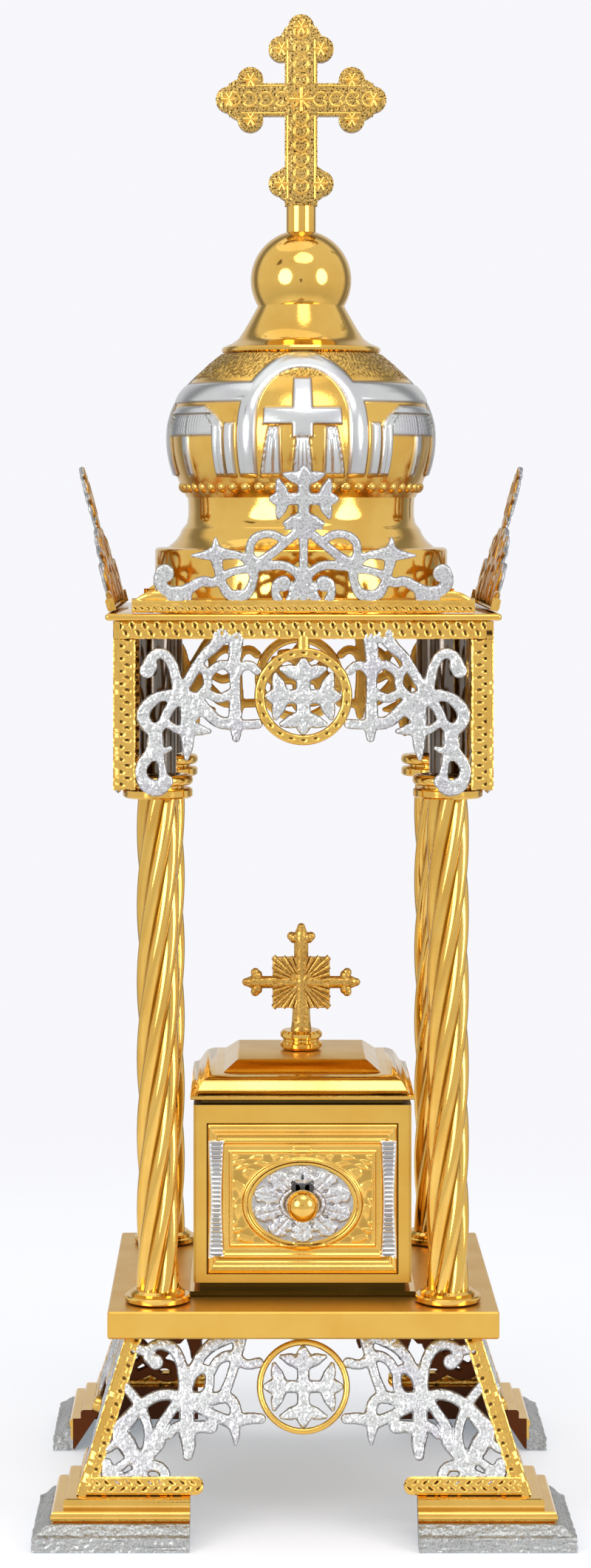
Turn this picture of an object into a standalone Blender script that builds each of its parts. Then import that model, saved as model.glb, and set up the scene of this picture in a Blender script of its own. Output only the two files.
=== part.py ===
"""Altar tabernacle in gold and silver plated cast brass.

Four corner feet carry leaning openwork panels and a square plate. Four twisted columns on the plate
carry a canopy of openwork panels, a roof plate with four crests, and a domed tower with a budded cross.
A small ark with a lift-off lid and a sliding drawer stands on the plate between the columns.
The front faces -Y, the feet stand on Z = 0, and all sizes are in metres.
"""

import math

import bmesh
import bpy
from mathutils import Matrix, Vector
from mathutils.geometry import delaunay_2d_cdt

# Play left between pieces that touch, and the distance within which outline points become one
GAP = 0.0003
MERGE = 0.0001

# Corner feet: a slab, a lower and an upper moulding, on a sloping inner wall
FOOT_HALF = 0.1000
FOOT_ARM = 0.0580
SLAB_EDGE = 0.0052
SLAB_RISE = 0.0088
SLAB_LEDGE = 0.0055
MOULDING_SETBACK = 0.0067
MOULDING_RISE = 0.0042
UPPER_SETBACK = 0.0046
UPPER_RISE = 0.0034
FOOT_WALL = 0.0082
FOOT_INNER_SETBACK = 0.0085

# Leaning openwork panels between the feet and the plate
BASE_RISE = 0.0554
BASE_TOP_HALF = 0.0665
BASE_FOOT_SETBACK = 0.0045
BASE_BORDER = 0.0063
BASE_TOE_RISE = 0.0066
BASE_TOE_OVERHANG = 0.0050
BASE_RING_RADIUS = 0.0174
BASE_RING_BAND = 0.0024
BASE_RING_DROP = 0.0186
BASE_CROSS_FLARE = 0.0092
BASE_THICK = 0.0034
SCROLL_WIDTH = 0.0028
CROSS_WAIST = 0.0034

# Plate that carries the columns and the ark
PLATE_HALF = 0.07315
PLATE_THICK = 0.0102
PLATE_BEVEL = 0.0006

# Twisted columns with a turned foot and capital, and the plain posts above them
COLUMN_OFFSET = 0.0548
COLUMN_RISE = 0.1995
SHAFT_RADIUS = 0.0077
SHAFT_GROOVE = 0.0013
SHAFT_STRANDS = 6
SHAFT_PITCH = 0.1730
SHAFT_STEPS = 8
COLUMN_FOOT_RADIUS = 0.0125
COLUMN_FOOT_RISE = 0.0050
COLUMN_FOOT_LIP = 0.0016
CAPITAL_DISC_RADIUS = 0.0132
CAPITAL_NECK_RADIUS = 0.0102
CAPITAL_LIP = 0.0020
CAPITAL_RISE = 0.0088
POST_RADIUS = 0.0070
POST_RISE = 0.0585

# Canopy panels, hung under the roof plate
CANOPY_HALF = 0.0711
CANOPY_DROP = 0.0636
CANOPY_THICK = 0.0026
CANOPY_TOP_BAND = 0.0066
CANOPY_SIDE_BAND = 0.0083
CANOPY_RING_RADIUS = 0.0183
CANOPY_RING_BAND = 0.0039
CANOPY_RING_DROP = 0.0281
CANOPY_CROSS_FLARE = 0.0098
CANOPY_STEM = 0.0044

# Roof plate and the four crests on it
ROOF_HALF = 0.0740
ROOF_THICK = 0.0026
CREST_HALF = 0.0560
CREST_BAND_HALF = 0.0640
CREST_BAND_RISE = 0.0048
CREST_THICK = 0.0034
CREST_RISE = 0.0566
CREST_LEAN = math.radians(15.0)
CREST_SETBACK = 0.0022
CREST_FLOWER_RISE = 0.0431
CREST_FLOWER_REACH = 0.0135
CREST_FLOWER_FLARE = 0.0104

# Tower: drum, waist and dome
DRUM_RADIUS = 0.0574
DRUM_RISE = 0.0231
SLOPE_RADIUS = 0.0523
SLOPE_RISE = 0.0079
WAIST_RADIUS = 0.0443
WAIST_RISE = 0.0124
DRUM_STEP = 0.0009
WAIST_SPREAD = 0.0025
DOME_FOOT_RADIUS = 0.0449
DOME_RADIUS = 0.0516
DOME_BELLY_RISE = 0.0235
DOME_RISE = 0.0565
DOME_TOP_RADIUS = 0.0310
BEAD_RISE = 0.0050
BEAD_SWELL = 0.0018

# Relief on the dome: arches with a cross above drapes, and portals between them
RELIEF_BAYS = 3
RELIEF_DEPTH = 0.0012
RELIEF_ROOT = 0.0030
RELIEF_FOOT = 0.0070
RELIEF_BELLY = 0.0165
ARCH_BAND = 0.0058
ARCH_SPREAD = math.radians(25.0)
ARCH_SPRING = 0.0290
ARCH_CROWN = 0.0530
ARCH_STEPS = 5
RELIEF_CROSS_BAR = 0.0066
RELIEF_CROSS_FOOT = 0.0215
RELIEF_CROSS_ARM = 0.0303
RELIEF_CROSS_TOP = 0.0450
RELIEF_CROSS_REACH = 0.0150
DRAPE_TOP_WIDTH = 0.0042
DRAPE_WIDTH = 0.0072
DRAPE_SPACING = 0.0120
PORTAL_SETBACK = 0.0091
PORTAL_SHOULDER = 0.0230
PORTAL_HEAD = 0.0290
PORTAL_PILLAR = 0.0044

# Lantern, ball and stem over the dome
LANTERN_EDGE = 0.0044
LANTERN_WAIST_RADIUS = 0.0170
LANTERN_FLARE = 0.0143
BALL_RADIUS = 0.0198
STEM_RADIUS = 0.0058
STEM_RISE = 0.0105
STEM_COLLAR = 0.0008
STEM_COLLAR_RISE = 0.0022
BALL_STEPS = 6
FLARE_STEPS = 3
FLARE_CURVE = 2.2

# Budded cross on the stem
CROSS_RISE = 0.0757
CROSS_SPAN = 0.0677
CROSS_BAR = 0.0128
CROSS_THICK = 0.0064
CROSS_LOBE = 0.0049
CROSS_BUD_SPREAD = 0.0077
CROSS_BUD_SETBACK = 0.0117
CROSS_FOOT_BUDS = 0.0088
CROSS_LOBE_SIDES = 8

# Ark: base, box, drawer and lid
ARK_HALF = 0.0415
ARK_CENTRE_Y = -0.0040
ARK_FLANGE = 0.0014
ARK_FLANGE_RISE = 0.0020
ARK_PLINTH_INSET = 0.0025
ARK_PLINTH_RISE = 0.0030
ARK_BOX_RISE = 0.0676
ARK_WALL = 0.0016
ARK_FRONT_WALL = 0.0030
ARK_CORNER = 0.0010
ARK_TOP_RIM = 0.0060
DRAWER_WIDTH = 0.0722
DRAWER_RISE = 0.0567
DRAWER_SILL = 0.0036
DRAWER_PLAY = 0.0004
DRAWER_FRONT = 0.0046
DRAWER_PROUD = 0.0012
DRAWER_FIELD_INSET = 0.0042
DRAWER_FIELD_DEPTH = 0.0016
DRAWER_TRAY_INSET = 0.0012
DRAWER_TRAY_RISE = 0.0420
DRAWER_WALL = 0.0014
STRIP_WIDTH = 0.0050
STRIP_DEPTH = 0.0011
STRIP_END_GAP = 0.0012
STRIP_OVERLAP = 0.0006
ROSETTE_HALF_WIDTH = 0.0199
ROSETTE_HALF_RISE = 0.0151
ROSETTE_THICK = 0.0016
ROSETTE_RISE = 0.0264
ROSETTE_SCALLOPS = 11
ROSETTE_SCALLOP_DEPTH = 0.05
KNOB_RADIUS = 0.0062
KNOB_HALF_DEPTH = 0.0053
KNOB_NECK_RADIUS = 0.0026
KNOB_FOOT_RADIUS = 0.0038
KNOB_REACH = 0.0105
KNOB_DROP = 0.0010
LID_OVERHANG = 0.0012
LID_LIP_INSET = 0.0030
LID_LIP_RISE = 0.0022
LID_EDGE = 0.0014
LID_SLOPE_RISE = 0.0070
LID_SLOPE_RUN = 0.0100
LID_LEDGE = 0.0030
LID_LEDGE_RISE = 0.0005
LID_UPPER_RISE = 0.0044
LID_UPPER_RUN = 0.0055
LID_SHELL = 0.0020
LID_CROSS_DISC = 0.0082
LID_CROSS_DISC_RISE = 0.0074
LID_CROSS_GROOVE = 0.0012
LID_CROSS_RISE = 0.0486
LID_CROSS_SPAN = 0.0452
LID_CROSS_BLOCK = 0.0215
LID_CROSS_BAR = 0.0062
LID_CROSS_THICK = 0.0046
LID_CROSS_WING = 0.0050
LID_CROSS_WING_SETBACK = 0.0030
LID_CROSS_NECK_SETBACK = 0.0062

# Fineness of the faceted solids
TURN_STEPS = 20
LANTERN_STEPS = 16
SMALL_STEPS = 10
RING_STEPS = 12

# Heights of the stack, each from the one below
FOOT_TOP = SLAB_RISE + MOULDING_RISE + UPPER_RISE
PLATE_BOTTOM = FOOT_TOP + BASE_RISE
PLATE_TOP = PLATE_BOTTOM + PLATE_THICK
CAPITAL_TOP = PLATE_TOP + COLUMN_RISE
ROOF_BOTTOM = CAPITAL_TOP + POST_RISE
ROOF_TOP = ROOF_BOTTOM + ROOF_THICK
DOME_BOTTOM = ROOF_TOP + DRUM_RISE + SLOPE_RISE + WAIST_RISE
DOME_TOP = DOME_BOTTOM + DOME_RISE
ARK_BOTTOM = PLATE_TOP + ARK_FLANGE_RISE + ARK_PLINTH_RISE
ARK_TOP = ARK_BOTTOM + ARK_BOX_RISE

# The capital swells as far as the canopy panel behind it allows
CAPITAL_RADIUS = CANOPY_HALF - CANOPY_THICK - COLUMN_OFFSET - GAP

SIDES = ("front", "right", "back", "left")
CORNERS = (("front_left", -1, -1), ("front_right", 1, -1), ("back_right", 1, 1), ("back_left", -1, 1))

for old in list(bpy.data.objects):
    bpy.data.objects.remove(old, do_unlink=True)

tabernacle = bpy.data.collections.new("altar_tabernacle")
cutters = bpy.data.collections.new("cutters")
bpy.context.scene.collection.children.link(tabernacle)
bpy.context.scene.collection.children.link(cutters)


# Materials

def plated(name, colour, roughness):
    """Return a metal material with one colour and one polish."""
    material = bpy.data.materials.new(name)
    material.use_nodes = True
    shader = material.node_tree.nodes["Principled BSDF"]
    shader.inputs["Base Color"].default_value = (*colour, 1.0)
    shader.inputs["Roughness"].default_value = roughness
    shader.inputs["Metallic"].default_value = 1.0
    material.diffuse_color = (*colour, 1.0)
    return material


GOLD = (0.72, 0.43, 0.09)
SILVER = (0.62, 0.63, 0.62)
STEEL = (0.30, 0.29, 0.28)


# Objects and meshes

def add_object(name, mesh, collection=tabernacle):
    """Link a new object that holds the mesh."""
    obj = bpy.data.objects.new(name, mesh)
    collection.objects.link(obj)
    return obj


def finish_node(obj, colour=GOLD, roughness=0.2, smooth=False):
    """Give a node its own material and, if it is round, smooth shading."""
    obj.data.materials.clear()
    obj.data.materials.append(plated(obj.name + "_plating", colour, roughness))
    if smooth:
        obj.data.shade_smooth()
        obj.data.set_sharp_from_angle(angle=math.radians(35))
    return obj


def as_cutter(obj):
    """Keep a helper solid out of the renders and draw it as wire."""
    obj.hide_render = True
    obj.display_type = "WIRE"
    return obj


def mesh_of(bm, name):
    """Turn a bmesh into a mesh with its faces pointing out."""
    bmesh.ops.recalc_face_normals(bm, faces=bm.faces)
    mesh = bpy.data.meshes.new(name)
    bm.to_mesh(mesh)
    bm.free()
    return mesh


def box(name, low, high, bevel=0.0, collection=tabernacle):
    """Add a box between two corners, with its edges bevelled if a width is given."""
    bm = bmesh.new()
    bmesh.ops.create_cube(bm, size=1.0)
    low, high = Vector(low), Vector(high)
    for vert in bm.verts:
        vert.co = Vector([low[i] + (vert.co[i] + 0.5) * (high[i] - low[i]) for i in range(3)])
    if bevel:
        bmesh.ops.bevel(bm, geom=bm.edges[:], offset=bevel, segments=1, affect="EDGES")
    return add_object(name, mesh_of(bm, name), collection)


def evaluated_mesh(obj, name):
    """Return the object's evaluated mesh in world space, with doubles merged."""
    graph = bpy.context.evaluated_depsgraph_get()
    graph.update()
    mesh = bpy.data.meshes.new_from_object(obj.evaluated_get(graph))
    mesh.name = name
    mesh.transform(obj.matrix_world)
    bm = bmesh.new()
    bm.from_mesh(mesh)
    bmesh.ops.remove_doubles(bm, verts=bm.verts, dist=1e-6)
    bm.to_mesh(mesh)
    bm.free()
    return mesh


def add_boolean(obj, other, operation):
    """Add an exact Boolean with another closed solid."""
    cut = obj.modifiers.new(operation.lower() + "_" + other.name, "BOOLEAN")
    cut.operation = operation
    cut.solver = "EXACT"
    cut.object = as_cutter(other)


AXIS_MERGE = 0.00005


def turned(name, profile, steps, collection=tabernacle):
    """Turn a profile, given from the top down as (radius, height), about the Z axis."""
    bm = bmesh.new()
    verts = [bm.verts.new((radius, 0.0, height)) for radius, height in profile]
    for first, second in zip(verts, verts[1:]):
        bm.edges.new((first, second))
    mesh = bpy.data.meshes.new(name)
    bm.to_mesh(mesh)
    bm.free()
    obj = add_object(name, mesh, collection)
    screw = obj.modifiers.new("turn", "SCREW")
    screw.angle = math.tau
    screw.steps = steps
    screw.render_steps = steps
    screw.use_merge_vertices = True
    screw.merge_threshold = AXIS_MERGE
    return obj


def lofted(name, sections, collection=tabernacle):
    """Skin a closed solid through sections with the same number of points."""
    bm = bmesh.new()
    rings = [[bm.verts.new(point) for point in section] for section in sections]
    bm.faces.new(rings[0])
    bm.faces.new(rings[-1])
    for first, second in zip(rings, rings[1:]):
        for index in range(len(first)):
            after = (index + 1) % len(first)
            bm.faces.new((first[index], first[after], second[after], second[index]))
    return add_object(name, mesh_of(bm, name), collection)


def stepped_solid(name, levels, collection=tabernacle):
    """Loft through square levels, given from the bottom up as (half width, height)."""
    corners = ((-1, -1), (1, -1), (1, 1), (-1, 1))
    sections = [[(x * half, y * half, height) for x, y in corners] for half, height in levels]
    return lofted(name, sections, collection)


# Openwork drawn as flat strokes

def stroke(points, width, end_width=None):
    """Return the quads of a ribbon along the points, with its width changing to the end."""
    line = [Vector(point) for point in points]
    end_width = width if end_width is None else end_width
    rails = []
    for index, point in enumerate(line):
        before, after = line[max(index - 1, 0)], line[min(index + 1, len(line) - 1)]
        way = (after - before).normalized()
        half = (width + (end_width - width) * index / (len(line) - 1)) / 2
        across = Vector((-way.y, way.x)) * half
        rails.append((point - across, point + across))
    return [(a[0], b[0], b[1], a[1]) for a, b in zip(rails, rails[1:])]


def ring(centre, radius, band, steps=RING_STEPS):
    """Return the quads of a flat ring, given by its outer radius and its band."""
    rails = []
    for step in range(steps):
        turn = math.tau * (step + 0.5) / steps
        way = Vector((math.cos(turn), math.sin(turn)))
        rails.append((Vector(centre) + way * radius, Vector(centre) + way * (radius - band)))
    return [(a[0], b[0], b[1], a[1]) for a, b in zip(rails, rails[1:] + rails[:1])]


def disc(centre, radius, sides):
    """Return one round face."""
    turns = [math.tau * (side + 0.5) / sides for side in range(sides)]
    return [tuple(Vector(centre) + radius * Vector((math.cos(turn), math.sin(turn))) for turn in turns)]


def bar(low, high):
    """Return one upright rectangle between two corners."""
    return [tuple(Vector(corner) for corner in (low, (high[0], low[1]), high, (low[0], high[1])))]


def mirrored(faces):
    """Return the faces together with their mirror images across X = 0."""
    return faces + [tuple(Vector((-point[0], point[1])) for point in reversed(face)) for face in faces]


def holds(face, x, y):
    """Tell whether a point lies inside a flat outline."""
    inside = False
    for a, b in zip(face, face[1:] + face[:1]):
        if (a[1] > y) != (b[1] > y) and x < a[0] + (b[0] - a[0]) * (y - a[1]) / (b[1] - a[1]):
            inside = not inside
    return inside


def united_sheet(faces, merge=True):
    """Unite overlapping flat faces into one open sheet and return it as a bmesh."""
    points, edges = [], []
    for face in faces:
        first = len(points)
        edges += [(first + side, first + (side + 1) % len(face)) for side in range(len(face))]
        points += [Vector((point[0], point[1])) for point in face]
    verts, _, triangles, *_ = delaunay_2d_cdt(points, edges, [], 0, MERGE)
    bm = bmesh.new()
    made = [bm.verts.new((vert.x, vert.y, 0.0)) for vert in verts]
    for triangle in triangles:
        middle = sum((verts[index] for index in triangle), Vector((0.0, 0.0))) / 3
        if any(holds(face, middle.x, middle.y) for face in faces):
            bm.faces.new([made[index] for index in triangle])
    bmesh.ops.delete(bm, geom=[vert for vert in bm.verts if not vert.link_faces], context="VERTS")
    if merge:
        bmesh.ops.dissolve_limit(bm, angle_limit=0.02, verts=bm.verts, edges=bm.edges)
    return bm


def solid_sheet(name, faces, thickness, collection=cutters):
    """Unite flat faces and give them a thickness about the XY plane."""
    bm = united_sheet(faces)
    mesh = bpy.data.meshes.new(name)
    bm.to_mesh(mesh)
    bm.free()
    obj = add_object(name, mesh, collection)
    solidify = obj.modifiers.new("thickness", "SOLIDIFY")
    solidify.thickness = thickness
    solidify.offset = 0.0
    return obj


def placed_copies(names, master, colour, roughness):
    """Make one node for each side from a finished solid, turned a quarter each time."""
    mesh = evaluated_mesh(master, names[0])
    for quarter, name in enumerate(names):
        obj = finish_node(add_object(name, mesh.copy()), colour, roughness)
        obj.rotation_euler.z = quarter * math.pi / 2


def equal_cross(centre, reach, waist, flare, shoulder=1.0):
    """Return four equal arms that widen to their shoulders and end in a point at their reach."""
    faces = []
    for quarter in range(4):
        turn = Matrix.Rotation(quarter * math.pi / 2, 2)
        wide = reach * shoulder
        arm = [(waist / 2, 0.0), (flare / 2, wide), (-flare / 2, wide), (-waist / 2, 0.0)]
        if shoulder < 1.0:
            arm.insert(2, (0.0, reach))
        faces.append(tuple(Vector(centre) + turn @ Vector(point) for point in arm))
    return faces


# Corner feet

def foot_profile():
    """Return the foot's section as (distance from the axis, height), outer side first."""
    moulding = FOOT_HALF - MOULDING_SETBACK
    upper = moulding - UPPER_SETBACK
    fillet = 0.3 * UPPER_RISE
    return [
        (FOOT_HALF, 0.0),
        (FOOT_HALF, SLAB_EDGE),
        (FOOT_HALF - SLAB_LEDGE, SLAB_RISE),
        (moulding, SLAB_RISE),
        (moulding, SLAB_RISE + MOULDING_RISE / 3),
        (moulding - UPPER_SETBACK / 3, FOOT_TOP - UPPER_RISE - MOULDING_RISE / 6),
        (upper, FOOT_TOP - UPPER_RISE),
        (upper, FOOT_TOP - fillet),
        (upper - fillet, FOOT_TOP),
        (upper - FOOT_WALL, FOOT_TOP),
        (FOOT_HALF - FOOT_INNER_SETBACK, 0.0),
    ]


def add_feet():
    """Loft the foot's section round each corner, from one arm's end to the other's."""
    arm_end = FOOT_HALF - FOOT_ARM
    for name, side_x, side_y in CORNERS:
        sections = [
            [(side_x * out, side_y * arm_end, height) for out, height in foot_profile()],
            [(side_x * out, side_y * out, height) for out, height in foot_profile()],
            [(side_x * arm_end, side_y * out, height) for out, height in foot_profile()],
        ]
        finish_node(lofted("foot_" + name, sections), SILVER, 0.3)


# Leaning base panels

BASE_BOTTOM_HALF = FOOT_HALF - MOULDING_SETBACK - UPPER_SETBACK - BASE_FOOT_SETBACK
BASE_LEAN = math.atan2(BASE_BOTTOM_HALF - BASE_TOP_HALF, BASE_RISE)
BASE_SLOPE = math.hypot(BASE_BOTTOM_HALF - BASE_TOP_HALF, BASE_RISE)


def base_inner_half(rise):
    """Return the half width inside the side borders at a share of the panel's rise."""
    return BASE_BOTTOM_HALF + (BASE_TOP_HALF - BASE_BOTTOM_HALF) * rise - BASE_BORDER


def base_point(across, rise):
    """Place a point by its share of the inner half width and of the rise."""
    return Vector((across * base_inner_half(rise), rise * BASE_SLOPE))


def base_scrolls():
    """Return the scrolling leaves and stems of half a base panel."""
    ring_centre = Vector((0.0, BASE_SLOPE - BASE_RING_DROP))
    ring_mid = BASE_RING_RADIUS - BASE_RING_BAND / 2

    def lines(*shares):
        return [base_point(*share) for share in shares]

    def on_ring(degrees):
        turn = math.radians(degrees)
        return ring_centre + ring_mid * Vector((math.cos(turn), math.sin(turn)))

    wide = SCROLL_WIDTH
    faces = stroke(lines((1.06, 0.92), (0.78, 0.92), (0.65, 0.60)), wide)
    faces += stroke(lines((0.66, 0.58), (0.45, 1.08)), wide, wide * 1.3)
    faces += stroke(lines((0.41, 1.08), (0.37, 0.44)), wide)
    faces += stroke(lines((0.66, 0.61), (0.37, 0.46)) + [on_ring(-25)], wide * 1.2)
    faces += stroke(lines((0.65, 0.63), (0.58, 0.22)), wide * 1.3, wide * 1.6)
    faces += stroke(lines((0.64, 0.61), (0.88, 0.58), (1.10, 0.30)), wide)
    faces += stroke(lines((0.84, 0.60), (0.80, 0.05)), wide)
    return faces


def mitre_wedge(name, bottom, top):
    """Return the solid that keeps one side's quarter of the square, mitred at both ends."""
    reach = 0.3
    wedge = box(name, (0.0, -reach, bottom), (reach, 0.0, top), collection=cutters)
    wedge.rotation_euler.z = -math.pi / 4
    wedge.location.y = -GAP
    return wedge


def add_base_panels():
    """Make the front base panel, mitre it, and turn it round to the four sides."""
    over = BASE_THICK
    toe_end = FOOT_HALF - FOOT_ARM - BASE_TOE_OVERHANG
    toe_rise = BASE_TOE_RISE / math.cos(BASE_LEAN)
    half = tuple(Vector(point) for point in [
        (BASE_BOTTOM_HALF + over, -over),
        (toe_end, -over),
        (toe_end, toe_rise),
        (base_inner_half(toe_rise / BASE_SLOPE), toe_rise),
        (base_inner_half(1.0 + over / BASE_SLOPE), BASE_SLOPE + over),
        (BASE_TOP_HALF + over, BASE_SLOPE + over),
    ])
    centre = (0.0, BASE_SLOPE - BASE_RING_DROP)
    inner = BASE_RING_RADIUS - BASE_RING_BAND / 2
    faces = mirrored([half] + base_scrolls()) + ring(centre, BASE_RING_RADIUS, BASE_RING_BAND)
    faces += equal_cross(centre, inner, CROSS_WAIST, BASE_CROSS_FLARE)
    panel = solid_sheet("base_openwork", faces, BASE_THICK)
    panel.rotation_euler.x = math.pi / 2 - BASE_LEAN
    panel.location = Vector((0.0, -BASE_BOTTOM_HALF, FOOT_TOP)) + BASE_THICK / 2 * Vector(
        (0.0, math.cos(BASE_LEAN), -math.sin(BASE_LEAN)))
    add_boolean(panel, mitre_wedge("base_mitre", FOOT_TOP + GAP, PLATE_BOTTOM - GAP), "INTERSECT")
    placed_copies(["base_panel_" + side for side in SIDES], panel, GOLD, 0.25)
    as_cutter(panel)


# Plate, columns and posts

def add_plate():
    """Add the square plate on the base panels."""
    low = (-PLATE_HALF, -PLATE_HALF, PLATE_BOTTOM)
    finish_node(box("base_plate", low, (PLATE_HALF, PLATE_HALF, PLATE_TOP), PLATE_BEVEL), GOLD, 0.2)


def column_section(radius, groove, height, turn):
    """Return one section of a column, with a groove between every two strands."""
    count = 2 * SHAFT_STRANDS
    points = []
    for index in range(count):
        way = turn + math.tau * index / count
        reach = radius - groove * (index % 2)
        points.append((reach * math.cos(way), reach * math.sin(way), height))
    return points


def column_sections():
    """Return a column's sections: turned foot, twisted shaft and turned capital."""
    foot_top = PLATE_TOP + COLUMN_FOOT_RISE
    capital = CAPITAL_TOP - CAPITAL_RISE
    foot = [
        (COLUMN_FOOT_RADIUS, PLATE_TOP + GAP),
        (COLUMN_FOOT_RADIUS, PLATE_TOP + COLUMN_FOOT_RISE / 2),
        (SHAFT_RADIUS + COLUMN_FOOT_LIP, foot_top),
    ]
    sections = [column_section(radius, 0.0, height, 0.0) for radius, height in foot]
    for step in range(SHAFT_STEPS + 1):
        rise = (capital - foot_top) * step / SHAFT_STEPS
        turn = rise / SHAFT_PITCH * math.tau
        sections.append(column_section(SHAFT_RADIUS, SHAFT_GROOVE, foot_top + rise, turn))
    head = [
        (CAPITAL_DISC_RADIUS, capital),
        (CAPITAL_DISC_RADIUS, CAPITAL_TOP - CAPITAL_RISE * 0.6),
        (CAPITAL_NECK_RADIUS, CAPITAL_TOP - CAPITAL_RISE / 2),
        (CAPITAL_RADIUS, CAPITAL_TOP - CAPITAL_RISE / 4),
        (CAPITAL_RADIUS - CAPITAL_LIP, CAPITAL_TOP),
    ]
    return sections + [column_section(radius, 0.0, height, turn) for radius, height in head]


def add_columns():
    """Stand a column and a plain post above it on each corner of the plate."""
    post_bottom = CAPITAL_TOP + GAP
    post_profile = [(0.0, ROOF_BOTTOM - GAP), (POST_RADIUS, ROOF_BOTTOM - GAP)]
    post_profile += [(POST_RADIUS, post_bottom), (0.0, post_bottom)]
    for name, side_x, side_y in CORNERS:
        column = lofted("column_" + name, column_sections())
        post = turned("post_" + name, post_profile, SMALL_STEPS)
        for obj, colour in ((column, GOLD), (post, STEEL)):
            obj.location = (side_x * COLUMN_OFFSET, side_y * COLUMN_OFFSET, 0.0)
            finish_node(obj, colour, 0.15)


# Canopy panels

def canopy_scrolls():
    """Return the scrolling leaves and stems of half a canopy panel."""
    inner = CANOPY_HALF - CANOPY_SIDE_BAND
    drop = CANOPY_DROP - CANOPY_TOP_BAND
    ring_centre = Vector((0.0, CANOPY_DROP - CANOPY_RING_DROP))
    ring_mid = CANOPY_RING_RADIUS - CANOPY_RING_BAND / 2

    def lines(*shares):
        return [Vector((across * inner, rise * drop)) for across, rise in shares]

    def on_ring(degrees):
        turn = math.radians(degrees)
        return ring_centre + ring_mid * Vector((math.cos(turn), math.sin(turn)))

    wide = SCROLL_WIDTH
    faces = stroke(lines((0.96, 0.82), (0.80, 0.92), (0.73, 0.60)), wide * 1.2, wide)
    faces += stroke(lines((0.72, 0.61), (0.47, 1.06)), wide, wide * 1.4)
    faces += stroke(lines((0.38, 1.06), (0.40, 0.34)), wide)
    faces += stroke(lines((0.71, 0.62), (0.53, 0.46)) + [on_ring(-30)], wide * 1.2, wide)
    faces += stroke(lines((0.71, 0.64), (0.64, 0.46), (0.68, 0.20)), wide * 1.6, wide * 0.7)
    faces += stroke(lines((0.72, 0.61), (0.94, 0.58), (0.88, 0.24)), wide)
    faces += stroke(lines((0.86, 0.28), (0.97, 0.12), (0.82, 0.06)), wide * 1.3, wide * 1.9)
    return faces


def add_canopy_panels():
    """Make the front canopy panel, mitre it, and turn it round to the four sides."""
    over = CANOPY_THICK
    inner = CANOPY_HALF - CANOPY_SIDE_BAND
    band = CANOPY_DROP - CANOPY_TOP_BAND
    outer = CANOPY_HALF + over
    centre = (0.0, CANOPY_DROP - CANOPY_RING_DROP)
    reach = CANOPY_RING_RADIUS - CANOPY_RING_BAND / 2
    faces = mirrored(bar((inner, 0.0), (outer, CANOPY_DROP + over)) + canopy_scrolls())
    faces += bar((-outer, band), (outer, CANOPY_DROP + over))
    faces += ring(centre, CANOPY_RING_RADIUS, CANOPY_RING_BAND)
    faces += equal_cross(centre, reach, CROSS_WAIST, CANOPY_CROSS_FLARE)
    faces += bar((-CANOPY_STEM / 2, centre[1] + reach), (CANOPY_STEM / 2, CANOPY_DROP))
    panel = solid_sheet("canopy_openwork", faces, CANOPY_THICK)
    panel.rotation_euler.x = math.pi / 2
    panel.location = (0.0, CANOPY_THICK / 2 - CANOPY_HALF, ROOF_BOTTOM - CANOPY_DROP)
    wedge = mitre_wedge("canopy_mitre", ROOF_BOTTOM - CANOPY_DROP - over, ROOF_BOTTOM - GAP)
    add_boolean(panel, wedge, "INTERSECT")
    placed_copies(["canopy_panel_" + side for side in SIDES], panel, GOLD, 0.25)
    as_cutter(panel)


# Roof and crests

def add_roof():
    """Add the thin plate over the canopy."""
    low = (-ROOF_HALF, -ROOF_HALF, ROOF_BOTTOM)
    finish_node(box("roof_plate", low, (ROOF_HALF, ROOF_HALF, ROOF_TOP), ROOF_THICK * 0.3), GOLD, 0.15)


def crest_strokes():
    """Return the stems, curls and leaves of half a crest."""
    rise = CREST_RISE - CREST_BAND_RISE

    def lines(*shares):
        return [Vector((across * CREST_HALF, CREST_BAND_RISE + up * rise)) for across, up in shares]

    wide = SCROLL_WIDTH
    faces = stroke(lines((0.0, 0.54), (0.33, 0.26)), wide)
    faces += stroke(lines((0.10, 0.46), (0.30, 0.48), (0.36, -0.05)), wide)
    faces += stroke(lines((0.0, 0.08), (0.20, 0.25), (0.62, 0.12)), wide)
    faces += stroke(lines((0.55, -0.05), (0.58, 0.46)), wide, wide * 0.7)
    faces += stroke(lines((0.34, 0.33), (0.76, 0.36)), wide, wide * 0.5)
    faces += stroke(lines((0.78, 0.00), (0.95, 0.08), (0.90, 0.26)), wide * 1.4, wide * 1.8)
    return faces


def add_crests():
    """Make the front crest, lean it outwards, and turn it round to the four sides."""
    flower = (0.0, CREST_FLOWER_RISE)
    faces = mirrored(crest_strokes())
    faces += equal_cross(flower, CREST_FLOWER_REACH, CROSS_WAIST, CREST_FLOWER_FLARE, 0.78)
    faces += stroke([(0.0, CREST_BAND_RISE / 2), flower], SCROLL_WIDTH * 1.1)
    faces += bar((-CREST_BAND_HALF, 0.0), (CREST_BAND_HALF, CREST_BAND_RISE))
    crest = solid_sheet("crest_openwork", faces, CREST_THICK)
    crest.rotation_euler.x = math.pi / 2 + CREST_LEAN
    sink = CREST_THICK / 2 * math.sin(CREST_LEAN) + GAP
    crest.location = (0.0, CREST_SETBACK - ROOF_HALF, ROOF_TOP + sink)
    placed_copies(["crest_" + side for side in SIDES], crest, SILVER, 0.3)
    as_cutter(crest)


# Drum and dome

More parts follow.
